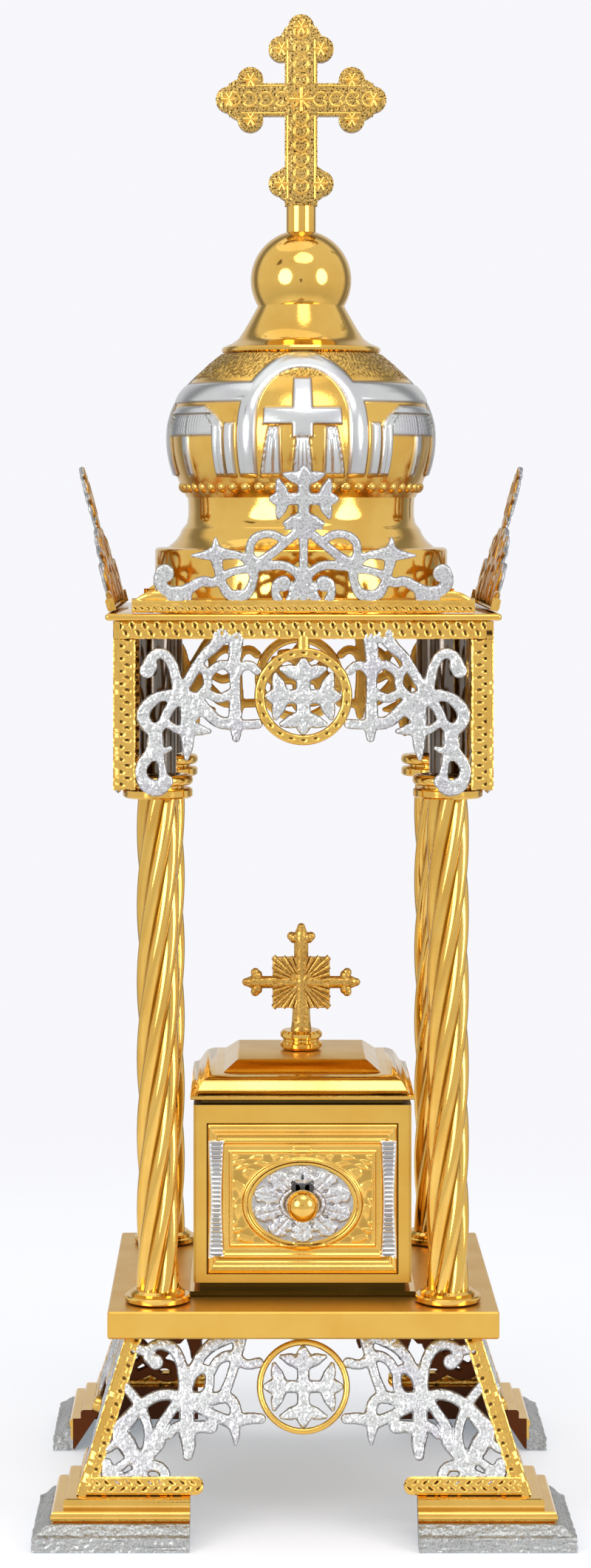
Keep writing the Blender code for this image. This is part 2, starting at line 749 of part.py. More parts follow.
def add_drum():
    """Turn the drum with its slope and hollow waist."""
    step = ROOF_TOP + DRUM_RISE + DRUM_STEP
    slope_top = ROOF_TOP + DRUM_RISE + SLOPE_RISE
    finish_node(turned("drum", [
        (0.0, DOME_BOTTOM - GAP),
        (DOME_FOOT_RADIUS, DOME_BOTTOM - GAP),
        (WAIST_RADIUS, DOME_BOTTOM - 0.4 * WAIST_RISE),
        (WAIST_RADIUS, slope_top + 0.25 * WAIST_RISE),
        (WAIST_RADIUS + WAIST_SPREAD, slope_top),
        (SLOPE_RADIUS, step),
        (DRUM_RADIUS - DRUM_STEP, step),
        (DRUM_RADIUS, step - DRUM_STEP),
        (DRUM_RADIUS, ROOF_TOP + GAP),
        (0.0, ROOF_TOP + GAP),
    ], TURN_STEPS), GOLD, 0.12, smooth=True)


def dome_radius(height):
    """Return the dome's radius at a height over its foot."""
    if height < DOME_BELLY_RISE:
        turn = (DOME_BELLY_RISE - height) / DOME_BELLY_RISE
        return DOME_RADIUS - (DOME_RADIUS - DOME_FOOT_RADIUS) * turn ** 2
    turn = (height - DOME_BELLY_RISE) / (DOME_RISE - DOME_BELLY_RISE)
    return DOME_RADIUS - (DOME_RADIUS - DOME_TOP_RADIUS) * turn ** 2


def relief_faces():
    """Return the flat faces of one bay's relief, as (arc length at the belly, height)."""
    spread = ARCH_SPREAD * DOME_RADIUS
    bay_middle = math.pi / RELIEF_BAYS * DOME_RADIUS
    crown = ARCH_CROWN - ARCH_SPRING
    turns = [math.pi * step / ARCH_STEPS for step in range(ARCH_STEPS + 1)]
    arch = [(spread * math.cos(turn), ARCH_SPRING + crown * math.sin(turn)) for turn in turns]
    legs = [(spread, RELIEF_FOOT), (spread, RELIEF_BELLY)]
    faces = stroke(legs + arch + [(-x, y) for x, y in reversed(legs)], ARCH_BAND)
    faces += stroke([(0.0, RELIEF_CROSS_FOOT), (0.0, RELIEF_CROSS_TOP)], RELIEF_CROSS_BAR)
    arms = [(x, RELIEF_CROSS_ARM) for x in (-RELIEF_CROSS_REACH, 0.0, RELIEF_CROSS_REACH)]
    faces += stroke(arms, RELIEF_CROSS_BAR)
    for middle in (-DRAPE_SPACING, 0.0, DRAPE_SPACING):
        drape = [(middle, RELIEF_CROSS_ARM), (middle, RELIEF_BELLY), (middle, RELIEF_FOOT)]
        faces += stroke(drape, DRAPE_TOP_WIDTH, DRAPE_WIDTH)
    portal = spread + PORTAL_SETBACK
    jamb = [(portal, RELIEF_FOOT), (portal, RELIEF_BELLY), (portal, PORTAL_SHOULDER)]
    shoulder = portal + PORTAL_HEAD - PORTAL_SHOULDER
    far_jamb = [(2 * bay_middle - x, y) for x, y in reversed(jamb)]
    head = [(shoulder, PORTAL_HEAD), (bay_middle, PORTAL_HEAD), (2 * bay_middle - shoulder, PORTAL_HEAD)]
    faces += stroke(jamb + head + far_jamb, ARCH_BAND)
    pillar = [(bay_middle, PORTAL_HEAD), (bay_middle, RELIEF_BELLY), (bay_middle, RELIEF_FOOT)]
    return faces + stroke(pillar, PORTAL_PILLAR)


def on_polar_plane(point, turn):
    """Lay a point of the relief on a flat ring, where all bays join without a seam."""
    turn += point[0] / DOME_RADIUS
    reach = DOME_RADIUS + point[1]
    return Vector((reach * math.cos(turn), reach * math.sin(turn)))


def dome_relief():
    """Unite the relief of all bays on a flat ring, wrap it round the dome and thicken it."""
    faces = []
    for bay in range(RELIEF_BAYS):
        turn = bay * math.tau / RELIEF_BAYS
        faces += [tuple(on_polar_plane(point, turn) for point in face) for face in relief_faces()]
    sheet = united_sheet(faces, merge=False)
    for vert in sheet.verts:
        turn = math.atan2(vert.co.y, vert.co.x)
        height = vert.co.xy.length - DOME_RADIUS
        radius = dome_radius(height)
        vert.co = (radius * math.sin(turn), -radius * math.cos(turn), DOME_BOTTOM + height)
    sheet.normal_update()
    inward = [face for face in sheet.faces if face.normal.xy.dot(face.calc_center_median().xy) < 0]
    bmesh.ops.reverse_faces(sheet, faces=inward)
    mesh = bpy.data.meshes.new("dome_relief")
    sheet.to_mesh(mesh)
    sheet.free()
    relief = add_object("dome_relief", mesh, cutters)
    solidify = relief.modifiers.new("depth", "SOLIDIFY")
    solidify.thickness = RELIEF_DEPTH + RELIEF_ROOT
    solidify.offset = (RELIEF_DEPTH - RELIEF_ROOT) / (RELIEF_DEPTH + RELIEF_ROOT)
    return relief


def add_dome():
    """Turn the dome and join its relief to it."""
    bead = DOME_FOOT_RADIUS + BEAD_SWELL
    profile = [(0.0, DOME_TOP - GAP), (DOME_TOP_RADIUS, DOME_TOP - GAP)]
    for share in (0.90, 0.75, 0.55, 0.35, 0.20):
        profile.append((dome_radius(DOME_RISE * share), DOME_BOTTOM + DOME_RISE * share))
    profile += [(bead, DOME_BOTTOM + BEAD_RISE), (bead, DOME_BOTTOM + BEAD_RISE / 2)]
    profile += [(DOME_FOOT_RADIUS, DOME_BOTTOM), (0.0, DOME_BOTTOM)]
    dome = turned("dome", profile, TURN_STEPS)
    add_boolean(dome, dome_relief(), "UNION")
    finish_node(dome, GOLD, 0.2, smooth=True)


# Lantern and top cross

def add_lantern():
    """Turn the flared lantern with its ball and stem."""
    bottom = DOME_TOP + LANTERN_EDGE
    waist = bottom + LANTERN_FLARE
    ball = waist + math.sqrt(BALL_RADIUS ** 2 - LANTERN_WAIST_RADIUS ** 2)
    collar = STEM_RADIUS + STEM_COLLAR
    stem = ball + math.sqrt(BALL_RADIUS ** 2 - collar ** 2)
    top = stem + STEM_RISE
    profile = [(0.0, top - GAP), (STEM_RADIUS, top - GAP), (STEM_RADIUS, stem + STEM_COLLAR_RISE)]
    start = math.asin(collar / BALL_RADIUS)
    stop = math.pi - math.asin(LANTERN_WAIST_RADIUS / BALL_RADIUS)
    for step in range(BALL_STEPS + 1):
        turn = start + (stop - start) * step / BALL_STEPS
        profile.append((BALL_RADIUS * math.sin(turn), ball + BALL_RADIUS * math.cos(turn)))
    for step in range(1, FLARE_STEPS + 1):
        share = step / FLARE_STEPS
        flare = LANTERN_WAIST_RADIUS + (DOME_TOP_RADIUS - LANTERN_WAIST_RADIUS) * share ** FLARE_CURVE
        profile.append((flare, waist - LANTERN_FLARE * share))
    profile += [(DOME_TOP_RADIUS, DOME_TOP), (0.0, DOME_TOP)]
    finish_node(turned("lantern", profile, LANTERN_STEPS), GOLD, 0.08, smooth=True)
    return top


def bud(centre, way):
    """Return three lobes round the end of an arm that points along way."""
    centre, way = Vector(centre), Vector(way)
    side = Vector((-way.y, way.x))
    tip = centre - way * CROSS_LOBE
    shoulder = centre - way * CROSS_BUD_SETBACK
    faces = disc(tip, CROSS_LOBE, CROSS_LOBE_SIDES)
    for sign in (-1, 1):
        faces += disc(shoulder + side * sign * CROSS_BUD_SPREAD, CROSS_LOBE, CROSS_LOBE_SIDES)
    return faces


def add_top_cross(bottom):
    """Stand the budded cross on the stem."""
    half_bar = CROSS_BAR / 2
    arm = CROSS_RISE - CROSS_SPAN / 2
    reach = CROSS_SPAN / 2
    faces = bar((-half_bar, 0.0), (half_bar, CROSS_RISE - CROSS_LOBE))
    faces += bar((CROSS_LOBE - reach, arm - half_bar), (reach - CROSS_LOBE, arm + half_bar))
    faces += bud((0.0, CROSS_RISE), (0, 1)) + bud((reach, arm), (1, 0)) + bud((-reach, arm), (-1, 0))
    for sign in (-1, 1):
        faces += disc((sign * CROSS_BUD_SPREAD, CROSS_FOOT_BUDS), CROSS_LOBE, CROSS_LOBE_SIDES)
    cross = solid_sheet("top_cross", faces, CROSS_THICK, tabernacle)
    cross.rotation_euler.x = math.pi / 2
    cross.location.z = bottom
    finish_node(cross, GOLD, 0.3)


# Ark

def add_ark_base():
    """Step the ark's base from a flange to a recessed plinth."""
    flange = ARK_HALF + ARK_FLANGE
    plinth = ARK_HALF - ARK_PLINTH_INSET
    step = PLATE_TOP + ARK_FLANGE_RISE
    base = stepped_solid("ark_base", [
        (flange, PLATE_TOP + GAP),
        (flange, step),
        (plinth, step),
        (plinth, ARK_BOTTOM - GAP),
    ])
    base.location.y = ARK_CENTRE_Y
    finish_node(base, GOLD, 0.2)


DRAWER_BOTTOM = ARK_BOTTOM + DRAWER_SILL
ARK_FRONT = ARK_CENTRE_Y - ARK_HALF


def add_ark_box():
    """Hollow the ark's box and open it at the front, for the drawer, and at the top."""
    back = ARK_CENTRE_Y + ARK_HALF
    body = box("ark_body", (-ARK_HALF, ARK_FRONT, ARK_BOTTOM), (ARK_HALF, back, ARK_TOP))
    bm = bmesh.new()
    bm.from_mesh(body.data)
    upright = [edge for edge in bm.edges if abs((edge.verts[0].co - edge.verts[1].co).z) > 0.01]
    bmesh.ops.bevel(bm, geom=upright, offset=ARK_CORNER, segments=1, affect="EDGES")
    bm.to_mesh(body.data)
    bm.free()
    inner = ARK_HALF - ARK_WALL
    hollow = box("ark_hollow", (-inner, ARK_FRONT + ARK_FRONT_WALL, ARK_BOTTOM + ARK_WALL),
                 (inner, back - ARK_WALL, ARK_TOP - ARK_WALL), collection=cutters)
    half = DRAWER_WIDTH / 2 + DRAWER_PLAY
    mouth = box("ark_mouth", (-half, ARK_FRONT - ARK_WALL, DRAWER_BOTTOM - DRAWER_PLAY),
                (half, ARK_FRONT + 2 * ARK_FRONT_WALL, DRAWER_BOTTOM + DRAWER_RISE + DRAWER_PLAY),
                collection=cutters)
    rim = ARK_HALF - ARK_TOP_RIM
    well = box("ark_well", (-rim, ARK_CENTRE_Y - rim, ARK_TOP - 2 * ARK_WALL),
               (rim, ARK_CENTRE_Y + rim, ARK_TOP + ARK_WALL), collection=cutters)
    for cutter in (hollow, mouth, well):
        add_boolean(body, cutter, "DIFFERENCE")
    finish_node(body, GOLD, 0.15)


def add_drawer():
    """Make the drawer's moulded front with its strips, and the open tray behind it."""
    front = ARK_FRONT - DRAWER_PROUD
    half = DRAWER_WIDTH / 2
    top = DRAWER_BOTTOM + DRAWER_RISE
    drawer = box("drawer", (-half, front, DRAWER_BOTTOM), (half, front + DRAWER_FRONT, top))
    bm = bmesh.new()
    bm.from_mesh(drawer.data)
    face = min(bm.faces, key=lambda item: item.calc_center_median().y)
    bmesh.ops.inset_individual(bm, faces=[face], thickness=DRAWER_FIELD_INSET / 2)
    bmesh.ops.inset_individual(bm, faces=[face], thickness=DRAWER_FIELD_INSET / 2,
                               depth=-DRAWER_FIELD_DEPTH)
    bm.to_mesh(drawer.data)
    bm.free()
    side = half - DRAWER_TRAY_INSET
    tray_bottom = DRAWER_BOTTOM + DRAWER_TRAY_INSET
    back = ARK_CENTRE_Y + ARK_HALF - ARK_WALL - DRAWER_TRAY_INSET
    tray = box("drawer_tray", (-side, front + DRAWER_FRONT / 2, tray_bottom),
               (side, back, tray_bottom + DRAWER_TRAY_RISE), collection=cutters)
    well = box("drawer_well", (DRAWER_WALL - side, front + DRAWER_FRONT, tray_bottom + DRAWER_WALL),
               (side - DRAWER_WALL, back - DRAWER_WALL, top + DRAWER_WALL), collection=cutters)
    add_boolean(drawer, tray, "UNION")
    add_boolean(drawer, well, "DIFFERENCE")
    strip_half = DRAWER_RISE / 2 - DRAWER_FIELD_INSET - STRIP_END_GAP
    middle = DRAWER_BOTTOM + DRAWER_RISE / 2
    floor = front + DRAWER_FIELD_DEPTH
    for sign in (-1, 1):
        outer = sign * (half - DRAWER_FIELD_INSET + STRIP_OVERLAP)
        inner = outer - sign * STRIP_WIDTH
        strip = box("drawer_strip", (min(outer, inner), floor - STRIP_DEPTH, middle - strip_half),
                    (max(outer, inner), floor + STRIP_DEPTH, middle + strip_half), collection=cutters)
        add_boolean(drawer, strip, "UNION")
    finish_node(drawer, GOLD, 0.2)
    return floor


def add_rosette_and_knob(floor):
    """Set the oval rosette on the drawer's field and the turned knob on the rosette."""
    middle = DRAWER_BOTTOM + ROSETTE_RISE
    steps = 2 * ROSETTE_SCALLOPS
    outline = []
    for step in range(steps):
        turn = math.tau * step / steps
        scallop = 1.0 - ROSETTE_SCALLOP_DEPTH * (step % 2)
        reach = Vector((ROSETTE_HALF_WIDTH * math.cos(turn), ROSETTE_HALF_RISE * math.sin(turn)))
        outline.append(scallop * reach)
    rosette = solid_sheet("drawer_rosette", [tuple(outline)], ROSETTE_THICK, tabernacle)
    rosette.rotation_euler.x = math.pi / 2
    rosette.location = (0.0, floor - GAP - ROSETTE_THICK / 2, middle)
    finish_node(rosette, SILVER, 0.3)
    ball = KNOB_REACH - KNOB_HALF_DEPTH
    profile = [(0.0, KNOB_REACH)]
    for degrees in (30, 60, 90, 120, 145):
        turn = math.radians(degrees)
        profile.append((KNOB_RADIUS * math.sin(turn), ball + KNOB_HALF_DEPTH * math.cos(turn)))
    profile += [(KNOB_NECK_RADIUS, ball - KNOB_HALF_DEPTH), (KNOB_FOOT_RADIUS, 0.0), (0.0, 0.0)]
    knob = turned("drawer_knob", profile, SMALL_STEPS)
    knob.rotation_euler.x = math.pi / 2
    knob.location = (0.0, floor - 2 * GAP - ROSETTE_THICK, middle - KNOB_DROP)
    finish_node(knob, GOLD, 0.08, smooth=True)


def add_lid():
    """Loft the hipped lid over its lip, hollow it from below, and lay it on the box."""
    lip = ARK_HALF - LID_LIP_INSET
    half = ARK_HALF + LID_OVERHANG
    levels = [(lip, ARK_TOP + GAP), (lip, ARK_TOP + LID_LIP_RISE), (half, ARK_TOP + LID_LIP_RISE)]
    height = ARK_TOP + LID_LIP_RISE + LID_EDGE
    levels.append((half, height))
    levels.append((half - LID_SLOPE_RUN / 3, height + LID_SLOPE_RISE / 2))
    half -= LID_SLOPE_RUN
    height += LID_SLOPE_RISE
    levels.append((half, height))
    half -= LID_LEDGE
    levels.append((half, height + LID_LEDGE_RISE))
    half -= LID_UPPER_RUN
    height += LID_UPPER_RISE
    levels.append((half, height))
    lid = stepped_solid("ark_lid", levels)
    well_half = lip - 2 * LID_SHELL
    upper_half = half - LID_SHELL / 2
    well = stepped_solid("lid_well", [
        (well_half, ARK_TOP - LID_SHELL),
        (well_half, ARK_TOP + LID_LIP_RISE),
        (upper_half, height - LID_SHELL),
    ], cutters)
    for obj in (lid, well):
        obj.location.y = ARK_CENTRE_Y
    add_boolean(lid, well, "DIFFERENCE")
    finish_node(lid, GOLD, 0.1)
    return height


def add_lid_cross(bottom):
    """Stand the carved cross on its two discs on the lid."""
    rise = LID_CROSS_DISC_RISE
    base = turned("lid_cross", [
        (0.0, rise),
        (LID_CROSS_DISC, rise),
        (LID_CROSS_DISC, 0.60 * rise),
        (LID_CROSS_DISC - LID_CROSS_GROOVE, rise / 2),
        (LID_CROSS_DISC, 0.40 * rise),
        (LID_CROSS_DISC, 0.0),
        (0.0, 0.0),
    ], SMALL_STEPS)
    reach = LID_CROSS_SPAN / 2
    middle = LID_CROSS_RISE - reach
    half_bar = LID_CROSS_BAR / 2
    half_block = LID_CROSS_BLOCK / 2
    faces = bar((-half_block, middle - half_block), (half_block, middle + half_block))
    faces += stroke([(0.0, rise * 0.7), (0.0, middle)], LID_CROSS_BAR * 1.3, LID_CROSS_BAR)
    root = Vector((0.0, middle))
    for way in (Vector((1, 0)), Vector((-1, 0)), Vector((0, 1))):
        side = Vector((-way.y, way.x))
        tip = root + way * reach
        neck = tip - way * LID_CROSS_NECK_SETBACK
        wing = tip - way * LID_CROSS_WING_SETBACK
        faces.append((root + side * half_bar, neck + side * half_bar, wing + side * LID_CROSS_WING,
                      tip, wing - side * LID_CROSS_WING, neck - side * half_bar, root - side * half_bar))
    sheet = solid_sheet("lid_cross_sheet", faces, LID_CROSS_THICK)
    sheet.rotation_euler.x = math.pi / 2
    for obj in (base, sheet):
        obj.location += Vector((0.0, ARK_CENTRE_Y, bottom + GAP))
    add_boolean(base, sheet, "UNION")
    finish_node(base, GOLD, 0.3)


add_feet()
add_base_panels()
add_plate()
add_columns()
add_canopy_panels()
add_roof()
add_crests()
add_drum()
add_dome()
add_top_cross(add_lantern())
add_ark_base()
add_ark_box()
add_rosette_and_knob(add_drawer())
add_lid_cross(add_lid())
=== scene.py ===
"""Looks of the altar tabernacle: gold and silver plated cast brass, built round the fixed frame."""
import math

import bpy
from mathutils import Matrix, Vector, noise


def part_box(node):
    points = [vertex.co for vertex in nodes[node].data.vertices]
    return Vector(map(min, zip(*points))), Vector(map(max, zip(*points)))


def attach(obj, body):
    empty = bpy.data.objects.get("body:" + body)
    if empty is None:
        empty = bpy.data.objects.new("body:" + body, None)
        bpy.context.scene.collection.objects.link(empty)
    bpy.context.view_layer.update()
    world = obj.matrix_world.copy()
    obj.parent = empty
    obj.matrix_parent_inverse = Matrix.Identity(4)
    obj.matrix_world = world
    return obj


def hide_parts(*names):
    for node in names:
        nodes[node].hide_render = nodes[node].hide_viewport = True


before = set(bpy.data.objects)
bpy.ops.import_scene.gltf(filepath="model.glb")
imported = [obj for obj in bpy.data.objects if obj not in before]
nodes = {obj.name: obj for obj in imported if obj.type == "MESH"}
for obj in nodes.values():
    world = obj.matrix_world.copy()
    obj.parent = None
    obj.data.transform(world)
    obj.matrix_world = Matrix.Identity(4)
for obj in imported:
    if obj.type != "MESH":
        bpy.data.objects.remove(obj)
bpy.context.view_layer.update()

# Studio
# A pale floor that fades into a pale backdrop, soft boxes at both sides and two overhead, and
# a level camera with a vertical shift, as for a catalogue photograph.

PHOTO_WIDTH = 800
PHOTO_HEIGHT = 2124
FOCAL_PIXELS = 4887
AXIS_PIXEL = (349, 675)
CAMERA_PLACE = (-0.0170, -1.4195, 0.3857)
SENSOR = 36.0
BACKDROP = (0.932, 0.932, 0.968)
FLOOR_FADE = (0.20, 0.85)
TENT = {"Y": [(0.0, 0.90), (0.70, 0.93), (0.78, 0.30), (0.85, 0.34), (0.91, 0.74), (1.0, 0.78)],
        "Z": [(0.0, 0.55), (0.38, 0.90), (0.50, 0.97), (1.0, 1.0)]}

camera_data = bpy.data.cameras.new("camera")
camera_data.sensor_width = SENSOR
camera_data.lens = SENSOR * FOCAL_PIXELS / PHOTO_HEIGHT
camera_data.shift_x = (PHOTO_WIDTH / 2 - AXIS_PIXEL[0]) / PHOTO_HEIGHT
camera_data.shift_y = (AXIS_PIXEL[1] - PHOTO_HEIGHT / 2) / PHOTO_HEIGHT
camera = bpy.data.objects.new("camera", camera_data)
camera.location = CAMERA_PLACE
camera.rotation_euler = (math.pi / 2, 0.0, 0.0)
bpy.context.scene.collection.objects.link(camera)
bpy.context.scene.camera = camera
bpy.context.scene.view_settings.view_transform = "Standard"


def link(tree, output, *inputs):
    """Join one output socket to each of the inputs."""
    for entry in inputs:
        tree.links.new(output, entry)


def add_node(tree, kind, inputs=(), **values):
    """Add a shader node, set its plain properties and fill its inputs with values or links."""
    node = tree.nodes.new("ShaderNode" + kind)
    for name, value in values.items():
        setattr(node, name, value)
    for name, value in dict(inputs).items():
        if isinstance(value, bpy.types.NodeSocket):
            link(tree, value, node.inputs[name])
        else:
            node.inputs[name].default_value = value
    return node


def ramp(tree, source, stops):
    """Colour a value through the given (place, grey or colour) stops."""
    node = add_node(tree, "ValToRGB", {"Fac": source})
    elements = node.color_ramp.elements
    while len(elements) < len(stops):
        elements.new(0.5)
    for element, (place, tone) in zip(elements, stops):
        element.position = place
        element.color = (*tone, 1.0) if isinstance(tone, tuple) else (tone, tone, tone, 1.0)
    return node.outputs["Color"]


def new_material(name, inputs):
    """Return a new material, its node tree and its main shader with some inputs set."""
    material = bpy.data.materials.new(name)
    material.use_nodes = True
    shader = material.node_tree.nodes["Principled BSDF"]
    for entry, value in inputs.items():
        shader.inputs[entry].default_value = value
    return material, material.node_tree, shader


def add_surroundings():
    """Show a pale backdrop to the camera, and a bright tent with a few dark gaps to the polished metal."""
    world = bpy.data.worlds.new("studio")
    bpy.context.scene.world = world
    world.use_nodes = True
    tree = world.node_tree
    tree.nodes.clear()
    place = add_node(tree, "TexCoord").outputs["Generated"]
    split = add_node(tree, "SeparateXYZ", {0: place})
    tones = []
    for axis, stops in TENT.items():
        lift = add_node(tree, "MapRange", {"From Min": -1.0, "Value": split.outputs[axis]})
        tones.append(ramp(tree, lift.outputs[0], stops))
    stretch = add_node(tree, "Mapping", {"Scale": (1.6, 1.6, 0.4), "Vector": place})
    patches = add_node(tree, "TexNoise", {"Scale": 2.6, "Detail": 1.0, "Vector": stretch.outputs[0]})
    tones.append(ramp(tree, patches.outputs["Fac"], [(0.24, (0.20, 0.15, 0.10)), (0.32, 1.0)]))
    colour = tones[0]
    for tone in tones[1:]:
        inputs = {"Factor": 1.0, "A": colour, "B": tone}
        colour = add_node(tree, "Mix", inputs, data_type="RGBA", blend_type="MULTIPLY").outputs["Result"]
    seen = add_node(tree, "Background", {"Color": (*BACKDROP, 1.0)})
    shone = add_node(tree, "Background", {"Color": colour})
    straight = add_node(tree, "LightPath").outputs["Is Camera Ray"]
    either = add_node(tree, "MixShader", {0: straight, 1: shone.outputs[0], 2: seen.outputs[0]})
    add_node(tree, "OutputWorld", {0: either.outputs[0]})


def add_floor():
    """Add a round pale floor that turns clear towards its rim and glows faintly: painted light that lifts the
    shadow on it.
    """
    bpy.ops.mesh.primitive_circle_add(vertices=96, radius=1.6, fill_type="NGON", location=(0, 0, -0.0002))
    floor = bpy.context.object
    floor.name = "floor"
    # The emission is painted light: a faint bluish glow that lifts the shadow on the floor.
    material, tree, shader = new_material("pale_floor_with_painted_glow", {
        "Base Color": (0.764, 0.716, 0.713, 1.0), "Roughness": 0.6,
        "Emission Color": (0.67, 0.86, 1.0, 1.0), "Emission Strength": 0.30})
    place = add_node(tree, "TexCoord").outputs["Object"]
    away = add_node(tree, "VectorMath", {0: place}, operation="LENGTH").outputs["Value"]
    near, far = FLOOR_FADE
    inputs = {"Value": away, "From Min": near, "From Max": far, "To Min": 1.0, "To Max": 0.0}
    fade = add_node(tree, "MapRange", inputs, interpolation_type="SMOOTHSTEP")
    link(tree, fade.outputs[0], shader.inputs["Alpha"])
    floor.data.materials.append(material)


def add_soft_box(name, place, size, power):
    """Add a round or oval light that faces the middle of the tabernacle."""
    data = bpy.data.lights.new(name, "AREA")
    data.shape = "ELLIPSE"
    data.size, data.size_y = size
    data.energy = power
    lamp = bpy.data.objects.new(name, data)
    lamp.location = place
    lamp.rotation_euler = (Vector((0, 0, 0.28)) - Vector(place)).to_track_quat("-Z", "Y").to_euler()
    lamp.visible_camera = False
    bpy.context.scene.collection.objects.link(lamp)


def add_dark_reflection():
    """Hang a small dark shape where the camera stands, seen only in the polished metal."""
    x, y, z = CAMERA_PLACE
    bpy.ops.mesh.primitive_cube_add(size=1.0, location=(x, y - 0.05, z))
    shape = bpy.context.object
    shape.name = "dark_reflection"
    shape.scale = (0.11, 0.04, 0.17)
    for ray in ("camera", "shadow", "diffuse"):
        setattr(shape, "visible_" + ray, False)
    shape.data.materials.append(new_material("black_reflection", {"Base Color": (0.01, 0.01, 0.01, 1.0)})[0])


add_surroundings()
add_floor()
add_dark_reflection()
add_soft_box("left_box", (-0.95, -1.25, 0.62), (0.90, 0.95), 10.5)
add_soft_box("right_box", (1.10, -1.00, 0.60), (0.70, 0.85), 7.0)
add_soft_box("top_box", (0.10, -0.75, 1.35), (0.80, 0.55), 3.2)
add_soft_box("floor_box", (-0.2, 0.2, 1.9), (1.6, 1.6), 2.5)

# Corner feet
# Each foot is an L-shaped brass casting: a hammered slab plated in silver, and two gold
# plated mouldings stepped on top, which carry the ends of two base panels.

CORNERS = ("front_left", "front_right", "back_right", "back_left")
FOOT_HALF = 0.1000
FOOT_ARM = 0.0580
SLAB_EDGE = 0.0052
SLAB_RISE = 0.0088
FOOT_GOLD_RADIUS = 0.0933
FOOT_STEP_RADIUS = 0.0887
FOOT_STEP_RISE = 0.0130
FOOT_RISE = 0.0164
FOOT_WALL = 0.0082
FOOT_INNER = 0.0915
SLAB_STEPS = 64
SLAB_LAYERS = 9
SLAB_MARGIN = 0.0052
SLAB_DENT = 0.0004

GOLD = (0.80, 0.50, 0.120)
GOLD_SHADE = (0.66, 0.34, 0.05)
SILVER = (0.66, 0.675, 0.67)
SILVER_SHADE = (0.50, 0.47, 0.56)
# Colour of the painted shade in recesses and of the random dark specks.
SHADE_AND_SPECK_COLOUR = (0.055, 0.026, 0.008)


def make_surface_group():
    """Build the group that gives a plating its cloudy tone, uneven polish, dents, dark specks and painted
    shade in its recesses.
    """
    group = bpy.data.node_groups.new("plated_surface", "ShaderNodeTree")
    sockets = {"INPUT": ("Colour", "Shade", "Polish", "Dulling", "Grain Scale", "Dents", "Specks"),
               "OUTPUT": ("Colour", "Roughness", "Height")}
    for way, names in sockets.items():
        for name in names:
            kind = "NodeSocketColor" if name in ("Colour", "Shade") else "NodeSocketFloat"
            group.interface.new_socket(name, in_out=way, socket_type=kind)
    given = group.nodes.new("NodeGroupInput").outputs
    result = group.nodes.new("NodeGroupOutput").inputs
    place = add_node(group, "TexCoord").outputs["Object"]
    cloud = add_node(group, "TexNoise", {"Vector": place, "Scale": 60.0, "Detail": 5.0}).outputs["Fac"]
    grain = add_node(group, "TexNoise", {"Vector": place, "Scale": given["Grain Scale"], "Detail": 3.0})
    dents = add_node(group, "TexVoronoi", {"Vector": place, "Scale": 620.0}, feature="SMOOTH_F1")
    pits = add_node(group, "TexNoise", {"Vector": place, "Scale": 1300.0, "Detail": 2.0})
    amount = ramp(group, cloud, [(0.42, 0.0), (0.72, 0.5)])
    inputs = {"Factor": amount, "A": given["Colour"], "B": given["Shade"]}
    tone = add_node(group, "Mix", inputs, data_type="RGBA")
    pitted = ramp(group, pits.outputs["Fac"], [(0.48, 0.0), (0.62, 1.0)])
    speck = add_node(group, "Math", {0: pitted, 1: given["Specks"]}, operation="MULTIPLY").outputs[0]
    # The recess attribute holds painted shade: grooves, slits, hollows and side walls stored darker.
    hollow = add_node(group, "Attribute", attribute_name="recess").outputs["Fac"]
    recess = add_node(group, "Math", {0: hollow, 1: speck}, operation="MAXIMUM").outputs[0]
    inputs = {"Factor": recess, "A": tone.outputs["Result"], "B": (*SHADE_AND_SPECK_COLOUR, 1.0)}
    shaded_and_specked = add_node(group, "Mix", inputs, data_type="RGBA")
    link(group, shaded_and_specked.outputs["Result"], result["Colour"])
    inputs = {0: cloud, 1: given["Dulling"], 2: given["Polish"]}
    dull = add_node(group, "Math", inputs, operation="MULTIPLY_ADD").outputs[0]
    rough = add_node(group, "Math", {0: recess, 1: 0.4, 2: dull}, operation="MULTIPLY_ADD")
    link(group, rough.outputs[0], result["Roughness"])
    inputs = {0: dents.outputs["Distance"], 1: given["Dents"], 2: grain.outputs["Fac"]}
    height = add_node(group, "Math", inputs, operation="MULTIPLY_ADD")
    link(group, height.outputs[0], result["Height"])
    return group


surface_group = make_surface_group()


def surface_node(tree, colour, shade, *values):
    """Place the shared surface group in a material, with this material's own values in its sockets' order."""
    node = tree.nodes.new("ShaderNodeGroup")
    node.node_tree = surface_group
    for entry, value in zip(node.inputs, ((*colour, 1.0), (*shade, 1.0), *values)):
        entry.default_value = value
    return node.outputs


def plating(name, colour, shade, polish, dulling=0.10, scale=900.0, depth=0.00002, dents=0.0, specks=0.0):
    """Return a plated metal with its own polish, grain, dents and dark specks."""
    material, tree, shader = new_material(name, {"Metallic": 1.0})
    surface = surface_node(tree, colour, shade, polish, dulling, scale, dents, specks)
    bump = add_node(tree, "Bump", {"Strength": 0.8, "Distance": depth, "Height": surface["Height"]})
    link(tree, surface["Colour"], shader.inputs["Base Color"])
    link(tree, surface["Roughness"], shader.inputs["Roughness"])
    link(tree, bump.outputs["Normal"], shader.inputs["Normal"])
    return material


